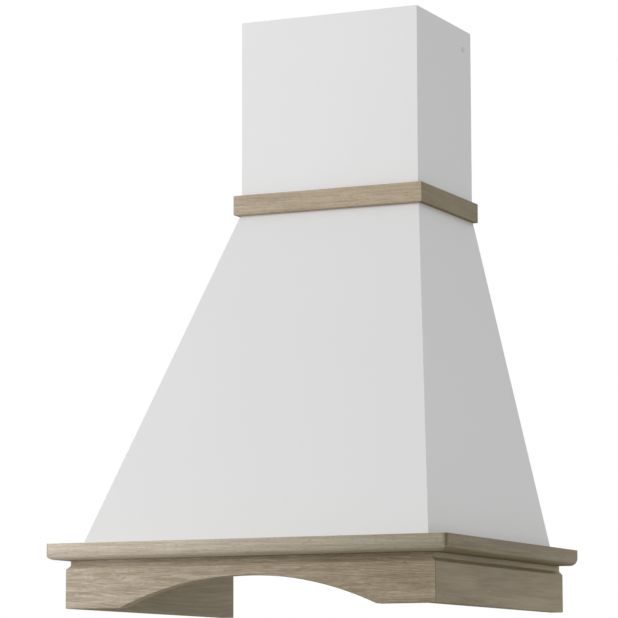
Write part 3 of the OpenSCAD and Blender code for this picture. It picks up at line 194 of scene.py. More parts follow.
class Graph:
    """The node tree of a material or of the world."""

    def __init__(
        self,
        owner: Union[bpy.types.Material, bpy.types.World],
        output: str = "ShaderNodeOutputMaterial",
    ) -> None:
        """Args:
            owner: the material or world, whose nodes are cleared.
            output: the type of its output node.
        """
        self.owner = owner
        self.owner.use_nodes = True
        self.tree = self.owner.node_tree
        self.tree.nodes.clear()
        self.output = self.node(output)

    @classmethod
    def of_material(cls, name: str) -> "Graph":
        """The graph of a new material."""
        return cls(bpy.data.materials.new(name))

    def node(
        self,
        kind: str,
        settings: Optional[Dict[str, Any]] = None,
        inputs: Optional[Dict[Union[str, int], Any]] = None,
    ) -> bpy.types.Node:
        """Adds one node.

        Args:
            kind: the node's type.
            settings: the node's own properties, set first.
            inputs: a value, a Shade or a socket for each input.

        Returns:
            The new node.
        """
        made = self.tree.nodes.new(kind)
        for key, value in (settings or {}).items():
            setattr(made, key, value)
        for key, value in (inputs or {}).items():
            self._feed(made.inputs[key], value)
        return made

    def _feed(self, target: bpy.types.NodeSocket, value: Any) -> None:
        """Links a Shade or a socket to an input, or sets the input to a value."""
        if isinstance(value, Shade):
            self.tree.links.new(value.socket, target)
        elif isinstance(value, bpy.types.NodeSocket):
            self.tree.links.new(value, target)
        else:
            target.default_value = value

    def math(self, operation: str, first: Operand, second: Operand = 0.0) -> Shade:
        """Adds a Math node.

        Args:
            operation: the node's operation.
            first: the first operand.
            second: the second operand, where there is one.

        Returns:
            The node's result.
        """
        made = self.node("ShaderNodeMath", {"operation": operation}, {0: first, 1: second})
        return Shade(self, made.outputs[0])

    def vector_math(self, operation: str, vector: Shade, by: Point) -> Shade:
        """Adds a Vector Math node."""
        made = self.node("ShaderNodeVectorMath", {"operation": operation}, {0: vector, 1: by})
        return Shade(self, made.outputs[0])

    def stretch(self, vector: Shade, by: Point) -> Shade:
        """Scales a vector axis by axis."""
        return self.vector_math("MULTIPLY", vector, by)

    def parts(self, vector: Shade) -> Tuple[Shade, Shade, Shade]:
        """Splits a vector into its three numbers."""
        made = self.node("ShaderNodeSeparateXYZ", None, {0: vector})
        return tuple(Shade(self, out) for out in made.outputs)

    def _turned(self, output: str, grain: Grain) -> Shade:
        """One of the Texture Coordinate outputs, turned so that X follows the grain."""
        source = self.node("ShaderNodeTexCoord")
        turned = self.node(
            "ShaderNodeMapping",
            {"vector_type": "POINT"},
            {"Vector": source.outputs[output], "Rotation": grain.value},
        )
        return Shade(self, turned.outputs[0])

    def place(self, grain: Grain = Grain.ALONG_X, offset: Point = ORIGIN) -> Shade:
        """Object coordinates, turned so that X follows the grain, and moved.

        Args:
            grain: the row axis that becomes X.
            offset: what is added after the turn, in metres.

        Returns:
            The pattern's coordinates.
        """
        return self.vector_math("ADD", self._turned("Object", grain), offset)

    def facing(self, grain: Grain = Grain.ALONG_X) -> Tuple[Shade, Shade, Shade]:
        """The way that the surface faces on the object, turned so that X follows the grain.

        Args:
            grain: the row axis that becomes X.

        Returns:
            The normal's three numbers.
        """
        return self.parts(self._turned("Normal", grain))

    def noise(self, vector: Shade, scale: float, detail: float = 2.0, rough: float = 0.5) -> Shade:
        """Fractal noise between 0 and 1.

        Args:
            vector: where it is read.
            scale: its frequency.
            detail: how many octaves it has.
            rough: how strong the finer octaves are.

        Returns:
            The noise.
        """
        made = self.node(
            "ShaderNodeTexNoise",
            None,
            {"Vector": vector, "Scale": scale, "Detail": detail, "Roughness": rough},
        )
        return Shade(self, made.outputs[0])

    def cells(self, vector: Shade, scale: float) -> Shade:
        """A random level for each cell of a Voronoi texture with one cell per 1 / scale."""
        made = self.node("ShaderNodeTexVoronoi", None, {"Vector": vector, "Scale": scale})
        return self.parts(Shade(self, made.outputs["Color"]))[0]

    def blend(self, share: Operand, low: Any, high: Any, kind: str = "MIX") -> Shade:
        """Mixes two colours.

        Args:
            share: how much of the second colour there is.
            low: the first colour, or a Shade.
            high: the second colour, or a Shade.
            kind: the blend type.

        Returns:
            The mixed colour.
        """
        made = self.node("ShaderNodeMix", {"data_type": "RGBA", "blend_type": kind})
        share_input, low_input, high_input, colour_output = 0, 6, 7, 2
        self._feed(made.inputs[share_input], share)
        for index, value in ((low_input, low), (high_input, high)):
            self._feed(made.inputs[index], value if isinstance(value, Shade) else (*value, 1.0))
        return Shade(self, made.outputs[colour_output])

    def bump(self, height: Shade, depth: float) -> Shade:
        """Turns a height between 0 and 1 into a normal.

        Args:
            height: the height map.
            depth: the height of 1, in metres.

        Returns:
            The normal.
        """
        made = self.node(
            "ShaderNodeBump", None, {"Height": height, "Distance": depth, "Strength": 1.0}
        )
        return Shade(self, made.outputs[0])

    def looked_at(self) -> Shade:
        """1 for rays from the camera, off polished faces and through glass, 0 for soft light."""
        path = self.node("ShaderNodeLightPath")
        seen = Shade(self, path.outputs["Is Camera Ray"])
        for kind in ("Is Glossy Ray", "Is Transmission Ray"):
            seen = self.math("MAXIMUM", seen, Shade(self, path.outputs[kind]))
        return seen

    def surface(self, shader: bpy.types.Node) -> None:
        """Joins a shader to the output."""
        self.tree.links.new(shader.outputs[0], self.output.inputs["Surface"])

    def finish(self, **sockets: Any) -> bpy.types.Material:
        """Adds the Principled shader and joins it to the output.

        Args:
            **sockets: the shader's inputs, with underscores for spaces.

        Returns:
            The finished material.
        """
        inputs = {key.replace("_", " "): value for key, value in sockets.items()}
        self.surface(self.node("ShaderNodeBsdfPrincipled", None, inputs))
        return self.owner


@dataclass(frozen=True)
class Layer:
    """A noise that is drawn out along the grain.

    Its stretch is how often it repeats per metre on each axis.
    """

    stretch: Point
    detail: float
    rough: float

    def read(self, graph: Graph, spot: Shade) -> Shade:
        """The layer's value at a spot of the pattern."""
        return graph.noise(graph.stretch(spot, self.stretch), 1.0, self.detail, self.rough)


@dataclass(frozen=True)
class Oak:
    """Weathered pale oak, cut flat through the log, with pores and a satin oil finish.

    The pith is the middle of the log's rings. It is given in the board's own frame, whose X
    follows the grain, and it leans a little, so that the rings cut the faces in long arches.
    `ring` is their spacing and `wander` and `ripple` are how far they leave their circles, in
    metres. `figure`, `fibres`, `streaks`, `patches` and `pitting` are strengths, `short` and
    `fine` scale the fibres and streaks along and across the grain, and a tone runs from
    `start` to `end` over `reach` metres of the board's length; it mixes the board's own tone with
    painted light and shade. Faces that look down are darkened by a painted shade.
    """

    BEND: ClassVar[Layer] = Layer((2.0, 13.0, 13.0), 2.0, 0.5)
    WAVE: ClassVar[Layer] = Layer((8.0, 70.0, 70.0), 2.0, 0.5)
    FIBRE: ClassVar[Layer] = Layer((34.0, 1100.0, 1100.0), 3.0, 0.6)
    STREAK: ClassVar[Layer] = Layer((7.0, 230.0, 230.0), 3.0, 0.6)
    PATCH: ClassVar[Layer] = Layer((4.0, 16.0, 16.0), 3.0, 0.55)
    PORE: ClassVar[Layer] = Layer((115.0, 1800.0, 1800.0), 1.0, 0.4)
    RING_RISE: ClassVar[Span] = (0.02, 0.25)
    RING_FALL: ClassVar[Span] = (1.0, 0.4)
    PORE_CUT: ClassVar[Span] = (0.58, 0.70)
    PORE_FADE: ClassVar[float] = 0.55
    SOFT_ENDS: ClassVar[Span] = (-0.1, 1.1)
    LEVEL: ClassVar[float] = 0.42
    END_FACE: ClassVar[Span] = (0.01, 0.5)
    END_SHARE: ClassVar[float] = 0.5
    UNDER_FACE: ClassVar[Span] = (0.5, 0.95)

    name: str
    grain: Grain
    offset: Point
    pith: Span
    lean: Span = (0.02, -0.015)
    ring: float = 0.0034
    figure: float = 0.17
    wander: float = 0.02
    ripple: float = 0.006
    start: Colour = WHITE
    end: Colour = WHITE
    reach: float = 0.6
    fibres: float = 0.75
    streaks: float = 0.95
    patches: float = 0.75
    short: float = 1.0
    fine: float = 1.0
    pitting: float = 0.5
    # painted shade: multiplies the colour of faces that look down
    underside_shade: Colour = (1.0, 0.98, 0.94)
    light: Colour = srgb(202, 190, 169)
    dark: Colour = srgb(150, 136, 113)
    pore: Colour = srgb(104, 90, 69)

    def make(self) -> bpy.types.Material:
        """Builds the material."""
        graph = Graph.of_material(self.name)
        spot = graph.place(self.grain, self.offset)
        rings = self._rings(graph, spot)
        scaled = graph.stretch(spot, (self.short, self.fine, self.fine))
        fibre = self.FIBRE.read(graph, scaled)
        pits = self.PORE.read(graph, spot).step(*self.PORE_CUT) * (1.0 - rings * self.PORE_FADE)
        # faces that look down: rougher, and darkened by painted shade
        under = (graph.facing()[2] * -1.0).step(*self.UNDER_FACE)
        shade = rings * self.figure + fibre.swing(self.fibres)
        shade = shade + self.STREAK.read(graph, scaled).swing(self.streaks)
        shade = shade + self.PATCH.read(graph, spot).swing(self.patches) + self.LEVEL
        colour = graph.blend(shade.step(*self.SOFT_ENDS), self.light, self.dark)
        colour = graph.blend(pits * self.pitting, colour, self.pore)
        return graph.finish(
            Base_Color=self._end_grain_and_painted_light(graph, spot, colour, under),
            Roughness=0.44 + fibre.swing(0.2) + pits * 0.12 + under * 0.42,
            Normal=graph.bump(fibre * 0.4 - pits + (1.0 - rings) * 0.25, 0.0001),
            Specular_IOR_Level=0.2,
        )

    def _rings(self, graph: Graph, spot: Shade) -> Shade:
        """The dark part of each growth ring.

        Args:
            graph: the material's graph.
            spot: the pattern's coordinates.

        Returns:
            1 in the dark part and 0 in the light part.
        """
        along, across, deep = graph.parts(spot)
        side = across - self.pith[0] - along * self.lean[0]
        back = deep - self.pith[1] - along * self.lean[1]
        radius = (side * side + back * back).root()
        radius = radius + self.BEND.read(graph, spot).swing(self.wander)
        radius = radius + self.WAVE.read(graph, spot).swing(self.ripple)
        phase = (radius / self.ring).fraction()
        return phase.step(*self.RING_RISE) * phase.step(*self.RING_FALL)

    def _end_grain_and_painted_light(self, graph: Graph, spot: Shade, colour: Shade, under: Shade) -> Shade:
        """Darkens the end grain, paints shade under the board and multiplies in its tone with
        painted light.

        Args:
            graph: the material's graph.
            spot: the pattern's coordinates.
            colour: the wood's colour.
            under: 1 on faces that look down.

        Returns:
            The toned colour.
        """
        end = graph.facing(self.grain)[0]
        end_grain = (end * end).step(*self.END_FACE) * self.END_SHARE
        colour = graph.blend(end_grain, colour, self.pore)
        # painted shade: faces that look down are darkened
        below = graph.blend(under, WHITE, self.underside_shade)
        colour = graph.blend(1.0, colour, below, "MULTIPLY")
        # painted light and shade: the board's tone runs from start to end along its length
        place = (graph.parts(spot)[0] - self.offset[0]) / self.reach + MIDDLE
        tone = graph.blend(place.step(*self.SOFT_ENDS), self.start, self.end)
        return graph.blend(1.0, colour, tone, "MULTIPLY")


@dataclass(frozen=True)
class PowderCoat:
    """Satin powder coat on steel, with a faint orange peel."""

    name: str = "white_powder_coat"
    colour: Colour = srgb(234, 234, 234)
    rough: float = 0.48
    peel: float = 0.000018

    def make(self) -> bpy.types.Material:
        """Builds the material."""
        graph = Graph.of_material(self.name)
        spot = graph.place()
        haze = graph.noise(spot, 4.5, 3.0, 0.55)
        dust = graph.noise(spot, 70.0, 3.0, 0.6)
        return graph.finish(
            Base_Color=graph.blend(
                haze.swing(0.8) + dust.swing(0.3) + MIDDLE,
                toned(self.colour, 0.985),
                toned(self.colour, 1.01),
            ),
            Roughness=self.rough + haze.swing(0.12) + dust.swing(0.05),
            Normal=graph.bump(graph.noise(spot, 520.0), self.peel),
        )


@dataclass(frozen=True)
class SheetZinc:
    """Galvanised steel sheet with its crystal pattern."""

    SCRATCH: ClassVar[Layer] = Layer((700.0, 40.0, 700.0), 1.0, 0.5)

    name: str = "galvanised_sheet"
    colour: Colour = (0.56, 0.58, 0.60)
    rough: float = 0.34
    flake: float = 130.0
    depth: float = 0.00001

    def make(self) -> bpy.types.Material:
        """Builds the material."""
        graph = Graph.of_material(self.name)
        spot = graph.place()
        flakes = graph.cells(spot, self.flake)
        grey = graph.noise(spot, 9.0, 3.0, 0.6)
        return graph.finish(
            Base_Color=graph.blend(
                flakes * 0.6 + grey * 0.4, toned(self.colour, 0.82), toned(self.colour, 1.1)
            ),
            Roughness=self.rough + flakes * 0.16 + grey.swing(0.1),
            Metallic=0.9,
            Normal=graph.bump(self.SCRATCH.read(graph, spot), self.depth),
        )


@dataclass(frozen=True)
class Brushed:
    """Metal with fine brushing along one row axis."""

    LINES: ClassVar[Layer] = Layer((30.0, 2600.0, 2600.0), 2.0, 0.6)
    OFFSET: ClassVar[Point] = (0.013, 0.027, 0.041)

    name: str
    colour: Colour
    grain: Grain = Grain.ALONG_X
    rough: float = 0.3
    metal: float = 1.0
    depth: float = 0.000008

    def make(self) -> bpy.types.Material:
        """Builds the material."""
        graph = Graph.of_material(self.name)
        spot = graph.place(self.grain, self.OFFSET)
        lines = self.LINES.read(graph, spot)
        smear = graph.noise(spot, 28.0, 3.0, 0.6)
        return graph.finish(
            Base_Color=graph.blend(
                lines * 0.7 + smear * 0.3, toned(self.colour, 0.9), toned(self.colour, 1.06)
            ),
            Roughness=self.rough + lines.swing(0.12) + smear.swing(0.14),
            Metallic=self.metal,
            Normal=graph.bump(lines, self.depth),
        )


@dataclass(frozen=True)
class Moulded:
    """Moulded plastic with a spark-eroded grain and slight handling marks."""

    name: str
    colour: Colour
    rough: float = 0.5
    grain_size: float = 900.0
    depth: float = 0.00003

    def make(self) -> bpy.types.Material:
        """Builds the material."""
        graph = Graph.of_material(self.name)
        spot = graph.place()
        skin = graph.noise(spot, self.grain_size, 2.0, 0.6)
        marks = graph.noise(spot, 22.0, 4.0, 0.6)
        return graph.finish(
            Base_Color=graph.blend(
                marks, toned(self.colour, 0.9), toned(self.colour, 1.12, 0.002)
            ),
            Roughness=self.rough + marks.swing(0.16),
            Normal=graph.bump(skin, self.depth),
        )


@dataclass(frozen=True)
class FrostedGlass:
    """The lamps' glass, etched on the inside, over a reflector and its yellowish light source.

    The two lamps stand the same way left and right of the middle, in one row. Their centres hold
    the source's own yellowish colour with a painted hot spot of the reflector over it, and their
    edges a darker ring that is partly etched and partly painted shade. Both spans are shares of the
    glass's radius.
    """

    reach: float
    row: float
    radius: float
    name: str = "frosted_lamp_glass"
    # the source's own yellowish colour, with a painted hot spot of the reflector
    source: Colour = (0.95, 0.86, 0.62)
    source_and_hot_spot_span: Span = (0.62, 0.3)
    # darker edge of the glass: partly an etched ring, partly painted shade
    etched_rim_and_shade: Colour = (0.4, 0.41, 0.42)
    etched_rim_and_shade_span: Span = (0.8, 0.9)

    def make(self) -> bpy.types.Material:
        """Builds the material."""
        graph = Graph.of_material(self.name)
        spot = graph.place()
        etch = graph.noise(spot, 1400.0)
        cloud = graph.noise(spot, 60.0)
        across, along, _ = graph.parts(spot)
        side = (across * across).root() - self.reach
        back = along - self.row
        ring = (side * side + back * back).root() / self.radius
        tint = graph.blend(cloud, (0.86, 0.87, 0.88), (0.93, 0.94, 0.95))
        # painted highlight: the reflector's hot spot, over the source's own yellow
        tint = graph.blend(ring.step(*self.source_and_hot_spot_span) * 0.75, tint, self.source)
        # darker edge of the glass: partly an etched ring, partly painted shade
        tint = graph.blend(ring.step(*self.etched_rim_and_shade_span) * 0.6, tint, self.etched_rim_and_shade)
        return graph.finish(
            Base_Color=tint,
            Roughness=0.12 + etch * 0.1,
            Normal=graph.bump(etch, 0.00001),
            Transmission_Weight=0.12,
            IOR=1.5,
            Coat_Weight=0.6,
        )


def new_mesh(name: str, shape: bmesh.types.BMesh) -> bpy.types.Mesh:
    """Turns a bmesh into a mesh.

    Args:
        name: the mesh's name.
        shape: the bmesh, which is freed.

    Returns:
        The new mesh.
    """
    mesh = bpy.data.meshes.new(name)
    shape.to_mesh(mesh)
    shape.free()
    return mesh


def new_object(name: str, data: bpy.types.ID) -> bpy.types.Object:
    """Puts an object at the scene's origin.

    Args:
        name: the object's name.
        data: its mesh, light or camera.

    Returns:
        The new object.
    """
    made = bpy.data.objects.new(name, data)
    bpy.context.scene.collection.objects.link(made)
    return made


class Workshop:
    """Keeps the finished materials and puts them on nodes and pieces."""

    WELD_REACH: ClassVar[float] = 0.000005
    FLAT_ANGLE: ClassVar[float] = math.radians(0.2)
    SHARP_ANGLE: ClassVar[float] = math.radians(32.0)

    def __init__(self, nodes: Dict[str, bpy.types.Object]) -> None:
        """Args:
            nodes: the CAD nodes by name.
        """
        self.nodes = nodes
        self.made: Dict[str, bpy.types.Material] = {}

    def material(self, finish: Any) -> bpy.types.Material:
        """The material of a finish, built once."""
        if finish.name not in self.made:
            self.made[finish.name] = finish.make()
        return self.made[finish.name]

    def coat(self, target: bpy.types.Object, finish: Any) -> None:
        """Puts a finish on an object in place of what it has.

        Args:
            target: the object.
            finish: the finish.
        """
        target.data.materials.clear()
        target.data.materials.append(self.material(finish))

    def dress(self, name: str, finish: Any, edge: Edge = Edge.SHARP, segments: int = 2) -> None:
        """Finishes one CAD node, joins the triangles of each flat side and softens its edges.

        Args:
            name: the node.
            finish: its finish.
            edge: how wide its softened edges are.
            segments: how many faces a softened edge gets.
        """
        target = self.nodes[name]
        self.coat(target, finish)
        weld = target.modifiers.new("weld", "WELD")
        weld.merge_threshold = self.WELD_REACH
        join = target.modifiers.new("join", "DECIMATE")
        join.decimate_type = "DISSOLVE"
        join.angle_limit = self.FLAT_ANGLE
        if edge is not Edge.SHARP:
            bevel = target.modifiers.new("edge", "BEVEL")
            bevel.width = edge.value
            bevel.segments = segments
            bevel.limit_method = "ANGLE"
            bevel.angle_limit = self.SHARP_ANGLE
            bevel.use_clamp_overlap = True
            bevel.miter_outer = "MITER_ARC"
        LOG.info("dressed %s with %s", name, finish.name)


@dataclass
class WoodFrame:
    """The oak moulding and apron round the canopy's foot, and the band round its neck."""

    segments: int = 3
    pine: Oak = Oak(
        "pine_corner_blocks", Grain.ALONG_Z, (6.6, 0.2, 0.4), (0.02, 0.04),
        light=srgb(214, 196, 160), dark=srgb(176, 152, 112),
    )
    screw: Brushed = Brushed("yellow_zinc", (0.66, 0.55, 0.30), rough=0.32)

    def boards(self) -> Dict[str, Oak]:
        """One finish per board, each cut from another place in the log, with painted light and
        shade in its tone.
        """
        along_x, along_y = Grain.ALONG_X, Grain.ALONG_Y
        return {
            # painted light: the front boards run from light at their left end to dark at their
            # right end
            "apron_front": Oak(
                "oak_apron_front", along_x, (0.12, 0.46, 0.37), (-0.045, 0.01), (0.06, -0.05),
                figure=0.2, wander=0.03, start=(1.31, 1.31, 1.38), end=(0.78, 0.755, 0.695),
                # painted shade: the front apron's down-facing faces, such as the arch's underside,
                # are darkened
                fibres=1.0, streaks=1.2, short=2.2, fine=0.9, pitting=0.6, underside_shade=(0.83, 0.83, 0.7),
            ),
            # painted shade: the left apron board is darkened as its inside lies in shade
            "apron_left": Oak(
                "oak_apron_left", along_y, (0.9, 0.31, 0.62), (-0.05, -0.03),
                start=(0.7, 0.67, 0.55), end=(0.7, 0.67, 0.55), fibres=0.4, streaks=0.5,
            ),
            # painted shade: the right-hand boards are darkened as the side that lies in shade
            "apron_right": Oak(
                "oak_apron_right", along_y, (1.7, -0.35, 0.31), (0.04, 0.06),
                figure=0.08, wander=0.012, start=(0.6, 0.57, 0.475), end=(0.73, 0.69, 0.54),
                fibres=0.6, streaks=0.8, patches=1.4, short=0.6, fine=0.7, pitting=0.2,
            ),
            "moulding_front": Oak(
                "oak_moulding_front", along_x, (2.3, 0.52, 0.34), (0.09, -0.05), figure=0.12,
                start=(1.68, 1.74, 1.92), end=(0.79, 0.815, 0.79), patches=0.4,
            ),
            "moulding_left": Oak(
                "oak_moulding_left", along_y, (3.1, 0.3, 0.1), (0.03, 0.06),
                start=(1.1, 1.1, 1.05), end=(1.1, 1.1, 1.05),
            ),
            "moulding_right": Oak(
                "oak_moulding_right", along_y, (3.9, -0.2, 0.2), (-0.04, 0.05),
                figure=0.08, wander=0.012, start=(0.46, 0.43, 0.34), end=(0.57, 0.53, 0.435),
                pitting=0.25,
            ),
            "band_front": Oak(
                "oak_band_front", along_x, (4.6, 0.2, -0.2), (0.03, -0.04), figure=0.12, reach=0.3,
                start=(1.14, 1.105, 1.1), end=(0.99, 0.94, 0.875),
            ),
            "band_left": Oak(
                "oak_band_left", along_y, (5.2, 0.3, -0.1), (0.02, 0.05),
                start=(1.0, 0.96, 0.88), end=(1.0, 0.96, 0.88),
            ),
            "band_right": Oak(
                "oak_band_right", along_y, (5.9, -0.1, -0.2), (-0.03, 0.04), figure=0.08,
                start=(0.51, 0.475, 0.365), end=(0.51, 0.475, 0.365),
            ),
        }

    def dress(self, shop: Workshop) -> None:
        """Finishes every board, block and screw of the frame."""
        for name, oak in self.boards().items():
            edge = Edge.BLOCK if name.startswith("band") else Edge.BOARD
            shop.dress(name, oak, edge, self.segments)
        shop.dress("corner_blocks", self.pine, Edge.SMALL)
        shop.dress("frame_screws", self.screw, Edge.FASTENER)


@dataclass
class SheetWork:
    """The canopy, the chimney and the plates that carry the blower."""

    paint: PowderCoat = PowderCoat()
    zinc: SheetZinc = SheetZinc()

    def dress(self, shop: Workshop) -> None:
        """Finishes the painted and the galvanised sheet."""
        for name in ("canopy_shell", "chimney_cover", "underside_panel"):
            shop.dress(name, self.paint, Edge.FOLD)
        for name in (
            "back_plate", "motor_shelf", "chimney_bracket", "capacitor_strap", "motor_bracket",
        ):
            shop.dress(name, self.zinc, Edge.THIN_FOLD)
        shop.dress("chimney_screws", self.paint, Edge.FASTENER)


@dataclass
class Filters:
    """The two grease filters with their grilles, mesh and latches.

    `diamond` is the width and depth of one mesh of the expanded metal, `strand` half the width
    of a strand, `sheet` the thickness, `inset` how far the net ends inside the sheet's outline,
    `notch` the width and depth of the cut-out round the latch's housing, and `spread` half the
    depth of the uncut net as a share of the sheet's depth.
    """

    alu: Brushed = Brushed("filter_aluminium", (0.56, 0.57, 0.58), Grain.ALONG_Y, 0.36)
    expanded: Brushed = Brushed("expanded_aluminium", (0.60, 0.61, 0.62), Grain.ALONG_Y, 0.32)
    knit: Brushed = Brushed("knitted_aluminium", (0.34, 0.35, 0.36), rough=0.5, metal=0.8)
    latch: Moulded = Moulded("black_latch", (0.018, 0.018, 0.02), 0.42)
    diamond: Span = (0.0105, 0.0068)
    strand: float = 0.00075
    inset: float = 0.0021
    sheet: float = 0.0006
    notch: Span = (0.047, 0.0262)
    spread: float = 0.95

    def dress(self, shop: Workshop) -> None:
        """Finishes both filters, and gives them their expanded-metal grilles."""
        for side in ("left", "right"):
            shop.dress(f"filter_{side}_frame", self.alu, Edge.SMALL)
            shop.dress(f"filter_{side}_mesh", self.knit)
            shop.dress(f"filter_{side}_latch", self.latch, Edge.FINE)
            grille = self.grilles(side)
            shop.coat(grille, self.expanded)
            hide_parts(f"filter_{side}_grilles")
            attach(grille, f"filter_{side}")
            LOG.info("made %s with %d faces", grille.name, len(grille.data.polygons))

    def grilles(self, side: str) -> bpy.types.Object:
        """The upper and the lower sheet of expanded metal of one filter.

        Args:
            side: "left" or "right".

        Returns:
            One piece with both sheets, where the CAD model has its grilles.
        """
        low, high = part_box(f"filter_{side}_grilles")
        shape = bmesh.new()
        for level in (low[2] + self.sheet / 2, high[2] - self.sheet / 2):
            net = self._lattice(low, high)
            bmesh.ops.translate(net, vec=(0.0, 0.0, level), verts=net.verts)
            mesh = new_mesh("net", net)
            shape.from_mesh(mesh)
            bpy.data.meshes.remove(mesh)
        bmesh.ops.recalc_face_normals(shape, faces=shape.faces)
        name = f"expanded_grilles_{side}"
        return new_object(name, new_mesh(name, shape))

    def _lattice(self, low: Vector, high: Vector) -> bmesh.types.BMesh:
        """A flat net of strands, cut to the sheet and notched round the latch's housing.

        Args:
            low: the sheet's lowest corner.
            high: the sheet's highest corner.

        Returns:
            The net at height 0.
        """
        middle = ((low[0] + high[0]) / 2, (low[1] + high[1]) / 2)
        count = int((high[1] - low[1]) * self.spread / (min(self.diamond) / 2)) // 2 * 2
        size = count / 2 * math.sqrt(0.5)
        net = bmesh.new()
        bmesh.ops.create_grid(net, x_segments=count, y_segments=count, size=size)
        turn = Matrix.Rotation(math.pi / 4, 3, "Z")
        bmesh.ops.rotate(net, matrix=turn, verts=net.verts)
        bmesh.ops.scale(net, vec=(*self.diamond, 1.0), verts=net.verts)
        bmesh.ops.translate(net, vec=(*middle, 0.0), verts=net.verts)
        self._trim(net, low, high)
        half, deep = self.notch[0] / 2, low[1] + self.notch[1]
        in_notch = []
        for face in net.faces:
            centre = face.calc_center_median()
            if abs(centre[0] - middle[0]) < half and centre[1] < deep:
                in_notch.append(face)
        bmesh.ops.delete(net, geom=in_notch, context="FACES")
        faces = net.faces[:]
        bmesh.ops.inset_individual(net, faces=faces, thickness=self.strand, use_even_offset=True)
        bmesh.ops.delete(net, geom=faces, context="FACES_ONLY")
        bmesh.ops.solidify(net, geom=net.faces[:], thickness=self.sheet)
        bmesh.ops.translate(net, vec=(0.0, 0.0, self.sheet / 2), verts=net.verts)
        return net

    def _trim(self, net: bmesh.types.BMesh, low: Vector, high: Vector) -> None:
        """Cuts the net off a little inside the sheet's outline.

        Args:
            net: the net, which is changed.
            low: the sheet's lowest corner.
            high: the sheet's highest corner.
        """
        walls = (
            ((low[0] + self.inset, 0, 0), (-1, 0, 0)), ((high[0] - self.inset, 0, 0), (1, 0, 0)),
            ((0, low[1] + self.inset, 0), (0, -1, 0)), ((0, high[1] - self.inset, 0), (0, 1, 0)),
        )
        for spot, outward in walls:
            bmesh.ops.bisect_plane(
                net, geom=net.verts[:] + net.edges[:] + net.faces[:],
                plane_co=spot, plane_no=outward, clear_outer=True,
            )


@dataclass
class Machinery:
    """The blower, the outlet with its flaps, and the electrical parts."""

    black: Moulded = Moulded("black_plastic", (0.022, 0.022, 0.024), 0.46)
    grey: Moulded = Moulded("grey_plastic", (0.22, 0.23, 0.24), 0.5)
    pale: Moulded = Moulded("pale_plastic", (0.72, 0.72, 0.69), 0.42)
    steel: Brushed = Brushed("bright_steel", (0.66, 0.66, 0.67), rough=0.26)
    cast: Brushed = Brushed("motor_aluminium", (0.52, 0.53, 0.55), rough=0.42, metal=0.9)
    thin: Brushed = Brushed("thin_aluminium", (0.72, 0.73, 0.74), Grain.ALONG_Y, 0.3)
    zinc: SheetZinc = SheetZinc()

    def dress(self, shop: Workshop) -> None:
        """Finishes every part of the machinery."""
        plan: Dict[str, Tuple[Any, Edge]] = {
            "scroll_left_half": (self.grey, Edge.SMALL),
            "scroll_right_half": (self.grey, Edge.SMALL),
            "inlet_grille": (self.black, Edge.FINE),
            "impeller": (self.zinc, Edge.SHARP),
            "impeller_shaft": (self.steel, Edge.FINE),
            "motor": (self.cast, Edge.HOUSING),
            "outlet_collar": (self.black, Edge.SMALL),
            "damper_flap_left": (self.thin, Edge.FASTENER),
            "damper_flap_right": (self.thin, Edge.FASTENER),
            "capacitor": (self.pale, Edge.HOUSING),
            "junction_box": (self.grey, Edge.SMALL),
            "junction_box_lid": (self.grey, Edge.HOUSING),
            "terminal_block": (self.pale, Edge.FINE),
            "cable_gland": (self.black, Edge.FINE),
            "lamp_driver": (self.pale, Edge.BLOCK),
        }
        for name in (
            "scroll_screws", "motor_nuts", "collar_screws", "electrical_screws", "panel_screws",
            "sheet_rivets",
        ):
            plan[name] = (self.steel, Edge.FASTENER)
        for name, (finish, edge) in plan.items():
            shop.dress(name, finish, edge)


@dataclass
class Underside:
    """The lamps and the row of push buttons."""

    satin: Brushed = Brushed("satin_steel", (0.47, 0.47, 0.47), rough=0.3)
    button: Brushed = Brushed("button_steel", (0.58, 0.58, 0.58), rough=0.24)
    black: Moulded = Moulded("black_plastic", (0.022, 0.022, 0.024), 0.46)
    zinc: SheetZinc = SheetZinc()
    button_segments: int = 3

    def dress(self, shop: Workshop) -> None:
        """Finishes lamps and controls."""
        shop.dress("lamp_housings", self.zinc, Edge.FINE)
        low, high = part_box("lamp_lenses")
        radius = (high[1] - low[1]) / 2
        glass = FrostedGlass(high[0] - radius, low[1] + radius, radius)
        shop.dress("lamp_lenses", glass, Edge.FINE)
        shop.dress("lamp_bezels", self.satin, Edge.FINE)
        shop.dress("control_box", self.black)
        shop.dress("control_bezel", self.satin, Edge.SMALL)
        for name in ("light", "off", "speed_1", "speed_2", "speed_3"):
            shop.dress(f"button_{name}", self.button, Edge.FINE, self.button_segments)


@dataclass(frozen=True)
class Lamp:
    """A square soft lamp: where it stands and its side in metres, and its power in watts."""

    name: str
    at: Point
    size: float
    power: float

    def hang(self, aim: Point) -> None:
        """Puts the lamp up.

        Args:
            aim: the point that it faces.
        """
        data = bpy.data.lights.new(self.name, "AREA")
        data.shape = "SQUARE"
        data.size = self.size
        data.energy = self.power
        lamp = new_object(self.name, data)
        lamp.location = self.at
        lamp.rotation_mode = "QUATERNION"
        lamp.rotation_quaternion = (Vector(aim) - Vector(self.at)).to_track_quat("-Z", "Y")


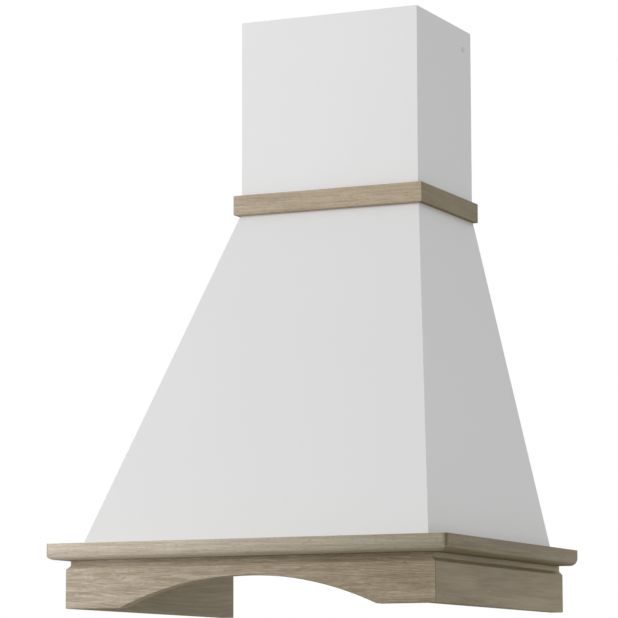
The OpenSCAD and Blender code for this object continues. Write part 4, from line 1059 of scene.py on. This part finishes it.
@dataclass
class Studio:
    """Floor, soft light, white surroundings and the camera at the photograph's angle."""

    camera_at: Point = (1.7702, -4.1609, -0.5370)
    yaw: float = 24.531
    pitch: float = 7.547
    roll: float = 0.147
    focal_pixels: float = 3012.2
    picture: float = 618.0
    sensor: float = 36.0
    clip: Span = (0.05, 200.0)
    floor_z: float = -7.0
    floor_size: float = 70.0
    floor_colour: Colour = (0.85, 0.85, 0.85)
    floor_glow: float = 0.62
    ambient: float = 0.43
    aim: Point = (0.0, -0.2, 0.0)
    key: Lamp = Lamp("key", (-2.2, -3.3, 1.3), 1.8, 75.3)
    fill: Lamp = Lamp("fill", (3.1, -1.4, -0.5), 2.0, 19.0)

    def build(self) -> None:
        """Makes the whole studio."""
        self._world()
        self._floor()
        for lamp in (self.key, self.fill):
            lamp.hang(self.aim)
        self._camera()
        bpy.context.scene.view_settings.view_transform = "Standard"

    def _world(self) -> None:
        """White where it is looked at, and a plain soft light on the object."""
        world = bpy.data.worlds.new("studio")
        bpy.context.scene.world = world
        graph = Graph(world, "ShaderNodeOutputWorld")
        level = graph.node(
            "ShaderNodeMapRange",
            None,
            {"Value": graph.looked_at(), "To Min": self.ambient, "To Max": 1.0},
        )
        back = graph.node(
            "ShaderNodeBackground", None, {"Color": (*WHITE, 1.0), "Strength": level.outputs[0]}
        )
        graph.surface(back)

    def _floor(self) -> None:
        """A pale floor, so far below the hood that its underside can be looked at.

        Where it is looked at it glows a little, so that it is as white as the surroundings.
        """
        shape = bmesh.new()
        bmesh.ops.create_grid(shape, x_segments=1, y_segments=1, size=self.floor_size)
        bmesh.ops.translate(shape, vec=(0.0, 0.0, self.floor_z), verts=shape.verts)
        floor = new_object("floor", new_mesh("floor", shape))
        graph = Graph.of_material("pale_floor")
        diffuse = graph.node("ShaderNodeBsdfDiffuse", None, {"Color": (*self.floor_colour, 1.0)})
        glow = graph.node(
            "ShaderNodeEmission", None, {"Color": (*WHITE, 1.0), "Strength": self.floor_glow}
        )
        added = graph.node("ShaderNodeAddShader", None, {0: diffuse.outputs[0], 1: glow.outputs[0]})
        mixed = graph.node(
            "ShaderNodeMixShader",
            None,
            {0: graph.looked_at(), 1: diffuse.outputs[0], 2: added.outputs[0]},
        )
        graph.surface(mixed)
        floor.data.materials.append(graph.owner)

    def _camera(self) -> None:
        """The camera, with no shift and no depth of field."""
        data = bpy.data.cameras.new("camera")
        data.sensor_width = self.sensor
        data.lens = self.sensor * self.focal_pixels / self.picture
        data.clip_start, data.clip_end = self.clip
        camera = new_object("camera", data)
        turn = (
            Matrix.Rotation(math.radians(self.yaw), 4, "Z")
            @ Matrix.Rotation(math.radians(90.0 + self.pitch), 4, "X")
            @ Matrix.Rotation(math.radians(-self.roll), 4, "Z")
        )
        camera.matrix_world = Matrix.Translation(self.camera_at) @ turn
        bpy.context.scene.camera = camera


def write_sizes() -> None:
    bpy.context.view_layer.update()


def main() -> None:
    """Builds and dresses the whole hood, then the studio."""
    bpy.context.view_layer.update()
    shop = Workshop(frame["nodes"])
    for part in (WoodFrame(), SheetWork(), Filters(), Machinery(), Underside()):
        LOG.info("dressing %s", type(part).__name__)
        part.dress(shop)
    Studio().build()
    write_sizes()


if __name__ == "__main__":
    main()
